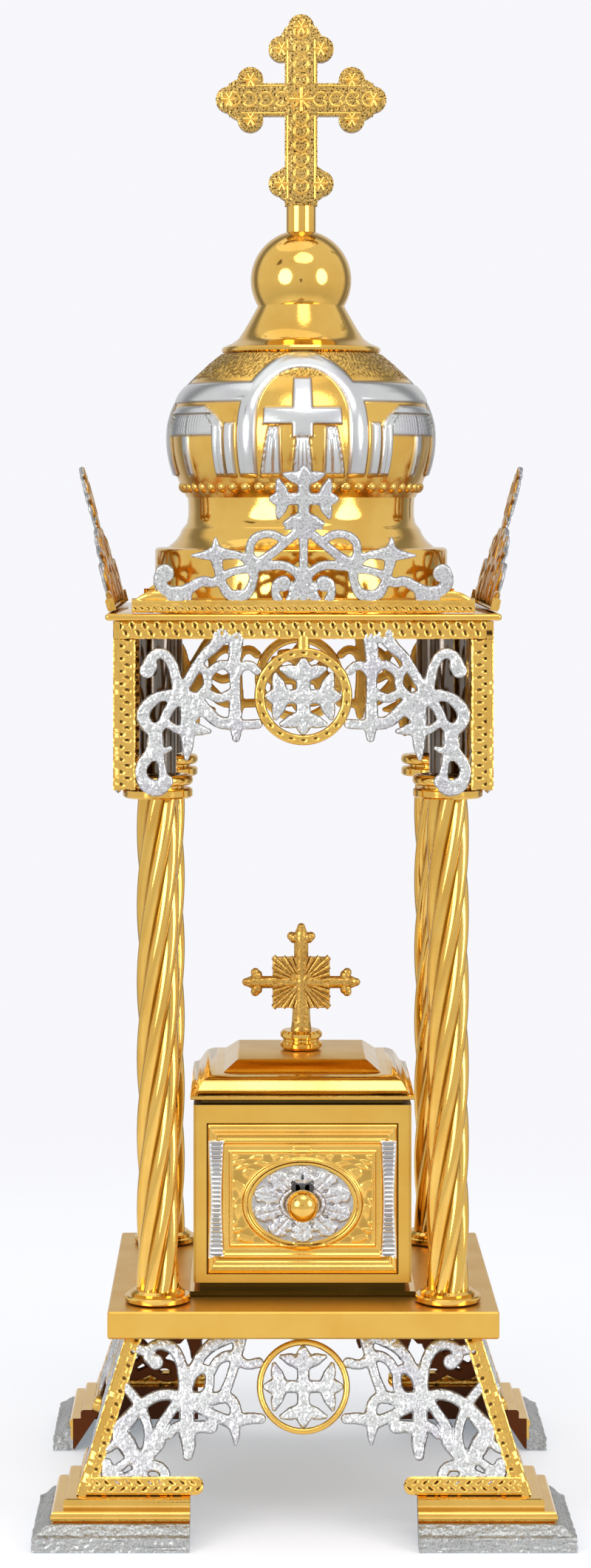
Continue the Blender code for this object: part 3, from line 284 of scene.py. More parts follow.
polished_gold = plating("polished_gold", GOLD, GOLD_SHADE, 0.05, 0.08)
satin_gold = plating("satin_gold", (0.74, 0.455, 0.095), GOLD_SHADE, 0.28, 0.12, 1400.0, 0.00003)
chased_gold = plating("chased_gold", GOLD, GOLD_SHADE, 0.16, 0.12, 700.0, 0.00012, 0.5)
chased_silver = plating("chased_silver", SILVER, SILVER_SHADE, 0.24, 0.20, 900.0, 0.00036, 1.4, 0.42)
hammered_silver = plating("hammered_silver", (0.47, 0.48, 0.47), (0.30, 0.31, 0.31), 0.26, 0.20,
                          500.0, 0.0006, 0.8, 0.34)
# Darker gold that stands for painted shade on the backs of the canopy panels and crests.
gold_with_painted_shade = plating("gold_with_painted_shade", (0.64, 0.36, 0.075), (0.46, 0.23, 0.04), 0.25, 0.15, 900.0, 0.0001)
# Dark brown plating that stands for painted shade on inner faces.
painted_shade_inside = plating("painted_shade_inside", (0.12, 0.035, 0.012), (0.07, 0.02, 0.008), 0.40, 0.15)


def rise_through(profile):
    """Extrude the selected open edges about the Z axis through (radius, height) stations."""
    radius, height = profile[0]
    for wide, high in profile[1:]:
        bpy.ops.mesh.extrude_edges_move(TRANSFORM_OT_translate={"value": (0.0, 0.0, high - height)})
        ratio = wide / radius
        bpy.ops.transform.resize(value=(ratio, ratio, 1.0), center_override=(0.0, 0.0, high))
        radius, height = wide, high


def make_closed(obj, smooth=None):
    """Merge doubles, turn the faces outwards and leave edit mode."""
    bpy.ops.mesh.select_all(action="SELECT")
    bpy.ops.mesh.remove_doubles(threshold=0.000004)
    bpy.ops.mesh.normals_make_consistent(inside=False)
    bpy.ops.object.mode_set(mode="OBJECT")
    if smooth is not None:
        bpy.ops.object.shade_smooth_by_angle(angle=math.radians(smooth))
    return obj


def copy_turned(obj, name, turn):
    """Copy a piece with its own mesh, turned about the tabernacle's axis."""
    twin = obj.copy()
    twin.data = obj.data.copy()
    twin.name = name
    twin.data.transform(Matrix.Rotation(turn, 4, "Z"))
    bpy.context.scene.collection.objects.link(twin)
    return twin


def select_only(obj):
    """Make one object the active and the only selected one."""
    bpy.ops.object.select_all(action="DESELECT")
    obj.select_set(True)
    bpy.context.view_layer.objects.active = obj


def apply_place(obj):
    """Put an object's place and turn into its mesh."""
    select_only(obj)
    bpy.ops.object.transform_apply(location=True, rotation=True, scale=True)


def change(obj, kind, **values):
    """Run one modifier over a piece and apply it."""
    select_only(obj)
    modifier = obj.modifiers.new("step", kind)
    for name, value in values.items():
        setattr(modifier, name, value)
    bpy.ops.object.modifier_apply(modifier=modifier.name)
    return obj


def join(name, pieces):
    """Join several meshes into one piece."""
    select_only(pieces[0])
    for piece in pieces:
        piece.select_set(True)
    bpy.ops.object.join()
    pieces[0].name = name
    return pieces[0]


def slice_mesh(place, normal, **options):
    """Cut the whole mesh in edit mode along a plane."""
    bpy.ops.mesh.select_all(action="SELECT")
    bpy.ops.mesh.bisect(plane_co=place, plane_no=normal, **options)


def show(piece, stands_for, body="tabernacle"):
    """Attach a finished piece to its body and hide the node that it stands for."""
    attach(piece, body)
    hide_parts(stands_for)


def foot_ring():
    """Raise the square moulding that all four feet are cut from."""
    root = math.sqrt(2)
    bpy.ops.mesh.primitive_circle_add(vertices=4, radius=FOOT_HALF * root, fill_type="NOTHING")
    ring = bpy.context.object
    bpy.ops.object.mode_set(mode="EDIT")
    bpy.ops.mesh.select_all(action="SELECT")
    bpy.ops.transform.rotate(value=math.pi / 4, orient_axis="Z", center_override=(0, 0, 0))
    profile = [(FOOT_HALF, 0.0), (FOOT_HALF, SLAB_EDGE), (FOOT_HALF - 0.0016, SLAB_EDGE + 0.0006)]
    profile += [(FOOT_HALF - 0.0050, SLAB_RISE - 0.0002), (FOOT_HALF - 0.0056, SLAB_RISE)]
    profile.append((FOOT_GOLD_RADIUS, SLAB_RISE))
    round_rise = FOOT_STEP_RISE - SLAB_RISE
    for degrees in range(-70, 71, 20):
        turn = math.radians(degrees)
        profile.append((FOOT_GOLD_RADIUS - 0.0018 + 0.0018 * math.cos(turn),
                        SLAB_RISE + round_rise * (0.5 + 0.5 * math.sin(turn))))
    profile += [(FOOT_STEP_RADIUS, FOOT_STEP_RISE), (FOOT_STEP_RADIUS, FOOT_RISE - 0.0010)]
    profile += [(FOOT_STEP_RADIUS - 0.0004, FOOT_RISE - 0.0003), (FOOT_STEP_RADIUS - 0.0012, FOOT_RISE)]
    profile += [(FOOT_STEP_RADIUS - FOOT_WALL, FOOT_RISE), (FOOT_INNER, 0.0), (FOOT_HALF, 0.0)]
    rise_through(profile)
    return make_closed(ring)


def cut_foot():
    """Keep the ring's front left corner and close the two cut ends."""
    arm_end = FOOT_ARM - FOOT_HALF
    bpy.ops.object.mode_set(mode="EDIT")
    for normal in ((1, 0, 0), (0, 1, 0)):
        slice_mesh((arm_end, arm_end, 0), normal, use_fill=True, clear_outer=True)
    bpy.ops.object.mode_set(mode="OBJECT")


def hammer_slab(foot):
    """Cut the slab's upright edge finely and hammer it into wavy bark-like ridges."""
    bpy.ops.object.mode_set(mode="EDIT")
    for normal in ((1, 0, 0), (0, 1, 0)):
        for step in range(1, SLAB_STEPS):
            place = -FOOT_HALF + FOOT_ARM * step / SLAB_STEPS
            slice_mesh((place, place, 0), normal)
    for step in range(1, SLAB_LAYERS):
        slice_mesh((0, 0, SLAB_EDGE * step / SLAB_LAYERS), (0, 0, 1))
    bpy.ops.object.mode_set(mode="OBJECT")
    outer = FOOT_HALF - SLAB_MARGIN
    for vert in foot.data.vertices:
        x, y, z = vert.co
        if z < SLAB_RISE - 0.0001 and max(-x, -y) > outer:
            wave = 0.5 + 0.5 * math.sin(2600 * z + 7 * noise.noise(Vector(((x - y) * 130, z * 200, 0))))
            dent = SLAB_DENT * wave * min(1.0, (z + 0.0004) / 0.0012)
            vert.co.x += dent * (-x > outer)
            vert.co.y += dent * (-y > outer)


ring = foot_ring()
cut_foot()
hammer_slab(ring)
for material in (hammered_silver, polished_gold, painted_shade_inside):
    ring.data.materials.append(material)
for face in ring.data.polygons:
    face.material_index = 1 if face.center.z > SLAB_RISE + 0.00005 else 0
    # Painted shade: the inner walls facing the dark space under the plate get the dark brown plating.
    if max(-face.center.x, -face.center.y) < FOOT_INNER and face.normal.xy.dot(face.center.xy) < -0.01:
        face.material_index = 2
bpy.ops.object.shade_smooth_by_angle(angle=math.radians(30))
for quarter, corner in enumerate(CORNERS):
    foot = copy_turned(ring, "corner_foot_" + corner, quarter * math.pi / 2)
    show(foot, "foot_" + corner)
bpy.data.objects.remove(ring)

# Base panels
# Four openwork castings lean inwards from the feet to the plate: a gold plated border with
# two rows of slanted slits, a gold ring in the middle, and scrollwork plated in silver.

SIDES = ("front", "right", "back", "left")
BASE_BOTTOM = FOOT_RISE
BASE_TOP = 0.0718
BASE_BOTTOM_HALF = 0.0842
BASE_TOP_HALF = 0.0665
BASE_BORDER = 0.0063
BASE_TOE = 0.0066
BASE_TOE_END = 0.0370
BASE_THICK = 0.0034
BASE_LEAN = math.atan2(BASE_BOTTOM_HALF - BASE_TOP_HALF, BASE_TOP - BASE_BOTTOM)
BASE_SLOPE = math.hypot(BASE_BOTTOM_HALF - BASE_TOP_HALF, BASE_TOP - BASE_BOTTOM)
BASE_RING = 0.0174
BASE_RING_BAND = 0.0024
BASE_RING_HEIGHT = BASE_SLOPE - 0.0186
SLIT_PITCH = 0.0047
SLIT_DEPTH = 0.0008
JOINT_GAP = 0.0004
BORDER_GRAIN = 0.00052
BORDER_ROWS = 17
BASE_CROSS_ARM = (0.0050, 0.0160)
BASE_GROWTH = 1.15
SCROLL_ROUND = 1.15
STROKE_LOSS = 0.5
MELT_GRAIN = 0.00045
MESH_KEPT = 0.26


def round_caps(lines):
    """Return a ball for both ends of every line, so that strokes and knobs end round."""
    bpy.ops.mesh.primitive_uv_sphere_add(segments=12, ring_count=8, radius=1.0)
    first = bpy.context.object
    balls = []
    for line in lines:
        for x, y, width in (line[0], line[-1]):
            balls.append(copy_turned(first, "ball", 0.0))
            balls[-1].data.transform(Matrix.Translation((x, y, 0.0)) @ Matrix.Scale(width / 2, 4))
    bpy.data.objects.remove(first)
    return balls


def strokes(name, lines, material, depth, flatness=0.62, caps=False, lift=0.0):
    """Draw lines of (x, y, width) points in the XY plane as cast stems with flattened faces."""
    curve = bpy.data.curves.new(name, "CURVE")
    curve.dimensions = "3D"
    curve.bevel_depth = 0.0005
    curve.bevel_resolution = 2
    curve.resolution_u = 5
    curve.use_fill_caps = True
    for line in lines:
        spline = curve.splines.new("BEZIER")
        spline.bezier_points.add(len(line) - 1)
        for point, (x, y, width) in zip(spline.bezier_points, line):
            point.co = (x, y, 0.0)
            point.radius = width / (2 * curve.bevel_depth)
            point.handle_left_type = "AUTO"
            point.handle_right_type = "AUTO"
    stems = bpy.data.objects.new(name, curve)
    bpy.context.scene.collection.objects.link(stems)
    select_only(stems)
    bpy.ops.object.convert(target="MESH")
    bpy.ops.object.mode_set(mode="EDIT")
    bpy.ops.mesh.select_all(action="SELECT")
    bpy.ops.mesh.normals_make_consistent(inside=False)
    bpy.ops.object.mode_set(mode="OBJECT")
    if caps:
        stems = join(name, [stems] + round_caps(lines))
    for vert in stems.data.vertices:
        vert.co.z = max(-depth / 2, min(depth / 2, vert.co.z * flatness)) + lift
    stems.data.materials.append(material)
    bpy.ops.object.shade_smooth_by_angle(angle=math.radians(50))
    return stems


def smooth_step(value, start, stop):
    """Rise smoothly from 0 at start to 1 at stop."""
    share = min(1.0, max(0.0, (value - start) / (stop - start)))
    return share * share * (3 - 2 * share)


def add_values(obj, name, values):
    """Store a value for each point of a mesh, for its material to read."""
    attribute = obj.data.attributes.new(name, "FLOAT", "POINT")
    attribute.data.foreach_set("value", values)


def fuse(obj):
    """Melt crossing strokes into one silver casting, hammer its face, paint shade on its side walls and thin
    its mesh out.
    """
    change(obj, "REMESH", mode="VOXEL", voxel_size=MELT_GRAIN, use_smooth_shade=True)
    change(obj, "SMOOTH", factor=0.6, iterations=2)
    normals = [0.0] * (3 * len(obj.data.vertices))
    obj.data.vertices.foreach_get("normal", normals)
    deeps = []
    for vert in obj.data.vertices:
        x, y = vert.co.xy
        facing = normals[3 * vert.index + 2]
        if facing > 0.3:
            vert.co.z -= 0.00045 * max(0.0, noise.noise(Vector((x * 420, y * 420, 1.0))) + 0.1)
        # Painted shade: the more a point faces sideways, the darker it is stored.
        deeps.append(0.66 - 0.66 * smooth_step(abs(facing), 0.15, 0.62))
    add_values(obj, "recess", deeps)
    change(obj, "DECIMATE", ratio=MESH_KEPT)
    obj.data.materials.clear()
    obj.data.materials.append(chased_silver)
    bpy.ops.object.shade_smooth()
    return obj


def mirror_piece(obj):
    """Add the mirror image of a flat half across X = 0."""
    return change(obj, "MIRROR", use_mirror_merge=False)


def cast_silver(scrolls, middle, depth, flatness):
    """Cast a panel's scrolls, mirrored, and the lines of its middle into one silver plated piece."""
    half = strokes("scrolls", scrolls, chased_silver, depth, flatness, True)
    plain = strokes("middle", middle, chased_silver, depth, flatness)
    return fuse(join("silver_casting", [mirror_piece(half), plain]))


def sheet(name, columns, rows, place, material):
    """Add a fine grid whose points go where place(u, v) says, with their painted shade and silver share."""
    bpy.ops.mesh.primitive_grid_add(x_subdivisions=columns, y_subdivisions=rows, size=1.0)
    grid = bpy.context.object
    grid.name = name
    kept = {"recess": [], "silver_mask": []}
    for vert in grid.data.vertices:
        vert.co, *values = place(vert.co.x + 0.5, vert.co.y + 0.5)
        for numbers, value in zip(kept.values(), values):
            numbers.append(value)
    for attribute, numbers in kept.items():
        if numbers:
            add_values(grid, attribute, numbers)
    grid.data.materials.append(material)
    bpy.ops.object.shade_smooth_by_angle(angle=math.radians(60))
    return grid


def past_rim(share, margin):
    """Stretch a share of a grid so that a margin at both ends is left over for its rim."""
    return min(1.0, max(0.0, share * (1 + 2 * margin) - margin))


def slits(along, across, rows, pitch):
    """Return how deep the rows of slanted slits go at a place on a border."""
    deep = 0.0
    for row, shift, half_long, slant in rows:
        off = across - row
        far = ((along + off * slant) / pitch + shift) % 1.0 - 0.5
        deep = max(deep, 1.0 - smooth_step(math.hypot(far / 0.14, off / half_long), 0.6, 1.2))
    return deep


def border(name, length, width, thickness, rows, pitch=SLIT_PITCH):
    """Add a gold border that runs along +X from the origin, with rows of slits across it."""
    def place(u, v):
        across = past_rim(v, 0.08) * width
        along = past_rim(u, 0.005) * length
        rim = smooth_step(min(across, width - across), 0.0, 0.0008)
        deep = slits(along, across, rows, pitch)
        lumps = 0.00016 * noise.noise(Vector((along * 900, across * 900, 0.0)))
        level = thickness / 2 - 0.0006 + 0.0004 * rim + lumps - SLIT_DEPTH * deep
        if not 0.002 < v < 0.998 or not 0.001 < u < 0.999:
            level = -thickness / 2
        # The slits' depth is also returned as painted shade that darkens them.
        return (along, across, level), deep

    return sheet(name, round(length / BORDER_GRAIN), BORDER_ROWS, place, chased_gold)


def plate_back(panel, front_material, back_material, limit):
    """Give the faces that look back further than a limit, along +Y, their own darker plating as painted
    shade.
    """
    materials = panel.data.materials
    if materials.find(back_material.name) < 0:
        materials.append(back_material)
    front_index = materials.find(front_material.name)
    for face in panel.data.polygons:
        if face.material_index == front_index and face.normal.y > limit:
            face.material_index = materials.find(back_material.name)


def ring_band(centre, radius, band, depth, count=0):
    """Turn a rounded gold ring, with slits round it if a number is given."""
    bpy.ops.mesh.primitive_torus_add(major_radius=radius - band / 2, minor_radius=band / 2,
                                     major_segments=160, minor_segments=16)
    hoop = bpy.context.object
    deeps = []
    for vert in hoop.data.vertices:
        turn = math.atan2(vert.co.y, vert.co.x)
        out = vert.co.xy.length
        deep = 0.0
        if vert.co.z > 0 and count:
            far = ((turn / math.tau * count) % 1.0 - 0.5) * math.tau * out / count
            reach = math.hypot(far / 0.0011, (out - radius + band / 2) / (0.20 * band))
            deep = 1.0 - smooth_step(reach, 0.5, 1.2)
        deeps.append(deep)
        vert.co.z = max(-depth / 2, min(depth / 2, vert.co.z * 1.1)) - SLIT_DEPTH * deep
    hoop.data.transform(Matrix.Translation((*centre, 0.0)))
    # The slits' depth is also stored as painted shade that darkens them.
    add_values(hoop, "recess", deeps)
    hoop.data.materials.append(chased_gold)
    bpy.ops.object.shade_smooth_by_angle(angle=math.radians(60))
    return hoop


def cross_strokes(centre, reach, waist, flare):
    """Return the lines of an equal-armed cross whose arms widen and end in three points."""
    arm = [((0.0, 0.0), waist), ((0.0, reach * 0.40), waist), ((0.0, reach * 0.66), flare * 0.50),
           ((0.0, reach * 0.84), waist), ((0.0, reach * 1.0), waist * 0.35)]
    wing = [((0.0, reach * 0.50), waist * 0.9), ((flare * 0.30, reach * 0.66), waist),
            ((flare * 0.56, reach * 0.74), waist * 0.30)]
    lines = []
    for quarter in range(4):
        turn = Matrix.Rotation(quarter * math.pi / 2, 2)
        for side, points in ((1, arm), (1, wing), (-1, wing)):
            lines.append([(*(Vector(centre) + turn @ Vector((side * x, y))), w) for (x, y), w in points])
    return lines


def base_inner_half(rise):
    """Return the half width between the side borders at a share of the panel's rise."""
    return BASE_BOTTOM_HALF + (BASE_TOP_HALF - BASE_BOTTOM_HALF) * rise - BASE_BORDER


def base_line(*points):
    """Turn (share of the half width, share of the rise, width in mm) into points of a line."""
    return [(across * base_inner_half(rise), rise * BASE_SLOPE, (wide * BASE_GROWTH + STROKE_LOSS) * 0.001)
            for across, rise, wide in points]


BASE_LINES = [
    base_line((0.875, 0.835, 4.8), (0.93, 0.87, 3.2), (0.925, 0.925, 3.3), (0.82, 0.935, 3.8),
              (0.736, 0.85, 3.5), (0.687, 0.72, 3.3), (0.66, 0.64, 4.8)),
    base_line((0.93, 0.90, 3.0), (1.02, 0.92, 3.6)),
    base_line((0.66, 0.66, 3.6), (0.63, 0.83, 3.5), (0.58, 0.92, 4.0), (0.48, 1.00, 5.6)),
    base_line((0.635, 0.76, 2.8), (0.575, 0.79, 2.9), (0.535, 0.71, 2.9), (0.56, 0.62, 3.2),
              (0.65, 0.61, 3.6)),
    base_line((0.39, 1.00, 4.4), (0.40, 0.86, 3.2), (0.42, 0.73, 3.0), (0.45, 0.61, 3.6)),
    base_line((0.54, 0.76, 2.8), (0.50, 0.85, 3.0), (0.42, 0.87, 3.8), (0.34, 0.82, 3.0), (0.265, 0.83, 3.2)),
    base_line((0.66, 0.61, 5.0), (0.52, 0.60, 4.0), (0.42, 0.61, 3.6), (0.37, 0.54, 3.6), (0.37, 0.45, 4.4),
              (0.355, 0.38, 2.6), (0.35, 0.32, 0.8)),
    base_line((0.37, 0.46, 3.8), (0.30, 0.48, 3.6), (0.23, 0.48, 3.2)),
    base_line((0.63, 0.58, 3.6), (0.46, 0.49, 3.4), (0.37, 0.45, 4.2)),
    base_line((0.65, 0.62, 4.6), (0.63, 0.50, 4.8), (0.61, 0.39, 5.4), (0.59, 0.31, 4.4), (0.585, 0.25, 3.0)),
    base_line((0.61, 0.42, 4.0), (0.545, 0.43, 3.8), (0.49, 0.43, 4.2)),
    base_line((0.62, 0.43, 3.2), (0.67, 0.43, 3.0), (0.70, 0.38, 2.6)),
    base_line((0.66, 0.61, 3.4), (0.78, 0.63, 3.5), (0.87, 0.585, 3.6), (0.94, 0.47, 5.2), (0.965, 0.40, 6.0),
              (0.91, 0.32, 6.2), (0.84, 0.22, 5.0), (0.80, 0.16, 4.0)),
    base_line((1.01, 0.68, 3.0), (0.93, 0.60, 3.3), (0.86, 0.50, 3.2), (0.81, 0.38, 2.9), (0.80, 0.24, 3.0)),
    base_line((0.69, 0.60, 3.2), (0.73, 0.50, 3.3), (0.755, 0.42, 3.8), (0.745, 0.34, 4.0),
              (0.775, 0.25, 3.0), (0.79, 0.18, 3.2)),
    base_line((0.985, 0.20, 3.6), (0.955, 0.14, 5.6), (0.90, 0.10, 4.4), (0.82, 0.14, 3.8),
              (0.765, 0.185, 3.4),
              (0.70, 0.165, 3.4), (0.68, 0.10, 3.4), (0.73, 0.08, 3.6), (0.78, 0.11, 3.0)),
    base_line((0.96, 0.36, 2.4), (0.99, 0.30, 2.6), (1.02, 0.28, 2.2)),
    base_line((0.90, 0.30, 2.6), (0.88, 0.24, 2.2), (0.92, 0.17, 3.0)),
]
BASE_ROWS = ((0.0020, 0.0, 0.0011, 0.3), (0.0044, 0.5, 0.0010, 0.3))
TOE_ROWS = ((0.0022, 0.0, 0.0009, 1.2), (0.0044, 0.5, 0.0009, -1.2))
TOE_PITCH = 0.0040
TOE_PROUD = 0.0004


def base_panel():
    """Cast the front base panel flat, with its middle at X = 0."""
    centre = (0.0, BASE_RING_HEIGHT)
    cross = cross_strokes(centre, BASE_RING - BASE_RING_BAND, *BASE_CROSS_ARM)
    parts = [cast_silver(BASE_LINES, cross, BASE_THICK * 0.84, SCROLL_ROUND)]
    slant = (BASE_BOTTOM_HALF - BASE_TOP_HALF) / BASE_SLOPE
    side = border("base_side", BASE_SLOPE - JOINT_GAP, BASE_BORDER, BASE_THICK, BASE_ROWS)
    for vert in side.data.vertices:
        along, across = vert.co.xy
        vert.co.x = BASE_BOTTOM_HALF - slant * along - across
        vert.co.y = along + JOINT_GAP / 2
    toe_length = BASE_BOTTOM_HALF - BASE_BORDER / 2 - BASE_TOE_END
    toe = border("base_toe", toe_length, BASE_TOE, BASE_THICK, TOE_ROWS, TOE_PITCH)
    middle = BASE_TOE / 2
    for vert in toe.data.vertices:
        low = 1.0 - min(1.0, vert.co.x / middle)
        vert.co.y = middle + (vert.co.y - middle) * math.sqrt(max(0.0, 1.0 - low * low))
    toe.data.transform(Matrix.Translation((BASE_TOE_END, JOINT_GAP, TOE_PROUD)))
    parts += [mirror_piece(side), mirror_piece(toe)]
    parts.append(ring_band(centre, BASE_RING, BASE_RING_BAND, BASE_THICK))
    return join("base_panel_master", parts)


def stand_panel(panel, place, lean=0.0):
    """Turn a flat panel upright, lean it and put it in its place in the mesh."""
    panel.data.transform(Matrix.Translation(place) @ Matrix.Rotation(math.pi / 2 + lean, 4, "X"))
    return panel


def finish_panel(master, stem, node_stem, back_material):
    """Plate the panel's back darker as painted shade and copy it to the four sides."""
    plate_back(master, chased_silver, back_material, 0.3)
    # Base panels also get painted shade on the back of their gold borders.
    if back_material is painted_shade_inside:
        plate_back(master, chased_gold, back_material, 0.7)
    for quarter, side in enumerate(SIDES):
        show(copy_turned(master, stem + "_" + side, quarter * math.pi / 2), node_stem + "_" + side)
    bpy.data.objects.remove(master)


base_master = base_panel()
inward = Vector((0.0, math.cos(BASE_LEAN), -math.sin(BASE_LEAN))) * BASE_THICK / 2
stand_panel(base_master, Vector((0.0, -BASE_BOTTOM_HALF, BASE_BOTTOM)) + inward, -BASE_LEAN)
finish_panel(base_master, "leaning_panel", "base_panel", painted_shade_inside)

# Base plate
# A square plate folded from brass sheet, gold plated, with a satin finish.
# The four columns and the ark stand on it.

nodes["base_plate"].data.materials.clear()
nodes["base_plate"].data.materials.append(satin_gold)

# Columns and posts
# Each column is a gold plated casting of six round strands twisted like rope, on a turned foot
# and under a turned capital. A plain dark steel post goes on from it up to the roof plate.

PLATE_TOP = 0.0820
COLUMN_OFFSET = 0.0548
COLUMN_FOOT_RISE = 0.0050
COLUMN_FOOT_RADIUS = 0.0125
SHAFT_RADIUS = 0.0080
SHAFT_GROOVE = 0.0023
SHAFT_STRANDS = 6
SHAFT_PITCH = 0.1730
SHAFT_STEPS = 60
CAPITAL_BOTTOM = 0.2727
CAPITAL_TOP = 0.2815
CAPITAL_DISC = 0.0132
CAPITAL_NECK = 0.0102
CAPITAL_SWELL = 0.0134
POST_RADIUS = 0.0070
POST_TOP = 0.3397

polished_steel = plating("polished_steel", (0.17, 0.145, 0.125), (0.06, 0.045, 0.04), 0.12, 0.10)


def turned(name, profile, sides, material, smooth=35):
    """Turn a closed piece: a circle raised through (radius, height) stations and capped at both ends."""
    radius, height = profile[0]
    bpy.ops.mesh.primitive_circle_add(vertices=sides, radius=radius, fill_type="NOTHING",
                                      location=(0, 0, height))
    piece = bpy.context.object
    piece.name = name
    bpy.ops.object.transform_apply()
    bpy.ops.object.mode_set(mode="EDIT")
    bpy.ops.mesh.select_all(action="SELECT")
    rise_through(profile)
    bpy.ops.mesh.select_mode(type="EDGE")
    bpy.ops.mesh.select_all(action="DESELECT")
    bpy.ops.mesh.select_non_manifold()
    bpy.ops.mesh.fill_holes(sides=0)
    piece.data.materials.append(material)
    return make_closed(piece, smooth)


def rounded_disc(radius, bottom, top, edge):
    """Return the stations of a disc with rounded rims."""
    return [(radius - edge, bottom), (radius, bottom + edge), (radius, top - edge), (radius - edge, top)]


def add_shaft(bottom, top):
    """Add a cylinder, press six grooves into it and twist it to the right as it rises."""
    rise = top - bottom
    bpy.ops.mesh.primitive_cylinder_add(vertices=72, radius=SHAFT_RADIUS, depth=rise,
                                        location=(0, 0, (bottom + top) / 2))
    shaft = bpy.context.object
    bpy.ops.object.transform_apply()
    bpy.ops.object.mode_set(mode="EDIT")
    for step in range(1, SHAFT_STEPS):
        slice_mesh((0, 0, bottom + rise * step / SHAFT_STEPS), (0, 0, 1))
    bpy.ops.object.mode_set(mode="OBJECT")
    deeps = []
    for vert in shaft.data.vertices:
        turn = math.atan2(vert.co.y, vert.co.x)
        strand = abs(math.cos(turn * SHAFT_STRANDS / 2))
        reach = vert.co.xy.length - SHAFT_GROOVE * (1.0 - strand)
        # Painted shade: the grooves between the strands are stored darker.
        deeps.append(0.55 - 0.55 * smooth_step(strand, 0.02, 0.30))
        turn += (vert.co.z - bottom) / SHAFT_PITCH * math.tau
        vert.co.x, vert.co.y = reach * math.cos(turn), reach * math.sin(turn)
    add_values(shaft, "recess", deeps)
    shaft.data.materials.append(polished_gold)
    bpy.ops.object.shade_smooth_by_angle(angle=math.radians(60))
    return shaft


def add_column():
    """Stack one column: foot disc and collar, twisted shaft, capital."""
    foot = rounded_disc(COLUMN_FOOT_RADIUS, PLATE_TOP + JOINT_GAP, PLATE_TOP + 0.0030, 0.0005)
    foot += [(SHAFT_RADIUS + 0.0022, PLATE_TOP + 0.0031), (SHAFT_RADIUS + 0.0024, PLATE_TOP + 0.0040)]
    foot += [(SHAFT_RADIUS + 0.0012, PLATE_TOP + COLUMN_FOOT_RISE)]
    disc_top = CAPITAL_BOTTOM + 0.0036
    head = rounded_disc(CAPITAL_DISC, CAPITAL_BOTTOM, disc_top, 0.0007)
    head += [(CAPITAL_NECK, disc_top + 0.0003), (CAPITAL_NECK, disc_top + 0.0010)]
    middle = (disc_top + 0.0010 + CAPITAL_TOP) / 2
    for degrees in range(-60, 61, 20):
        turn = math.radians(degrees)
        head.append((CAPITAL_SWELL - 0.0020 + 0.0020 * math.cos(turn), middle + 0.0021 * math.sin(turn)))
    head.append((CAPITAL_NECK, CAPITAL_TOP))
    pieces = [turned("column_foot", foot, 64, polished_gold), turned("column_head", head, 64, polished_gold)]
    pieces.append(add_shaft(PLATE_TOP + COLUMN_FOOT_RISE - 0.0005, CAPITAL_BOTTOM + 0.0005))
    return join("column_master", pieces)


column_master = add_column()
post_master = turned("post_master", rounded_disc(POST_RADIUS, CAPITAL_TOP + JOINT_GAP, POST_TOP, 0.0003), 48,
                     polished_steel)
for corner, (side_x, side_y) in zip(CORNERS, ((-1, -1), (1, -1), (1, 1), (-1, 1))):
    offset = Matrix.Translation((side_x * COLUMN_OFFSET, side_y * COLUMN_OFFSET, 0.0))
    for master, stem, slot in ((column_master, "twisted_column_", "columns"),
                               (post_master, "plain_post_", "posts")):
        piece = copy_turned(master, stem + corner, 0.0)
        piece.data.transform(offset)
        show(piece, slot[:-1] + "_" + corner)
for master in (column_master, post_master):
    bpy.data.objects.remove(master)

# Canopy panels
# Four openwork castings hang under the roof plate: a gold plated border with two rows of slanted
# slits on three sides, a gold ring with slits and a cross, and silver plated scrolls and leaves.

CANOPY_CROSS_ARM = (0.0056, 0.0160)
CANOPY_GROWTH = 1.06
CANOPY_HALF = 0.0711
CANOPY_BOTTOM = 0.2764
CANOPY_TOP = 0.3397
CANOPY_RISE = CANOPY_TOP - CANOPY_BOTTOM
CANOPY_THICK = 0.0026
CANOPY_TOP_BAND = 0.0066
CANOPY_SIDE_BAND = 0.0083
CANOPY_RING = 0.0183
CANOPY_RING_BAND = 0.0039
CANOPY_RING_SLITS = 22
CANOPY_RING_HEIGHT = CANOPY_RISE - 0.0281
CANOPY_INNER = CANOPY_HALF - CANOPY_SIDE_BAND
CANOPY_FIELD = CANOPY_RISE - CANOPY_TOP_BAND


def canopy_line(*points):
    """Turn (share of the half width, share of the rise, width in mm) into points of a line."""
    return [(across * CANOPY_INNER, rise * CANOPY_FIELD, (wide * CANOPY_GROWTH + STROKE_LOSS) * 0.001)
            for across, rise, wide in points]


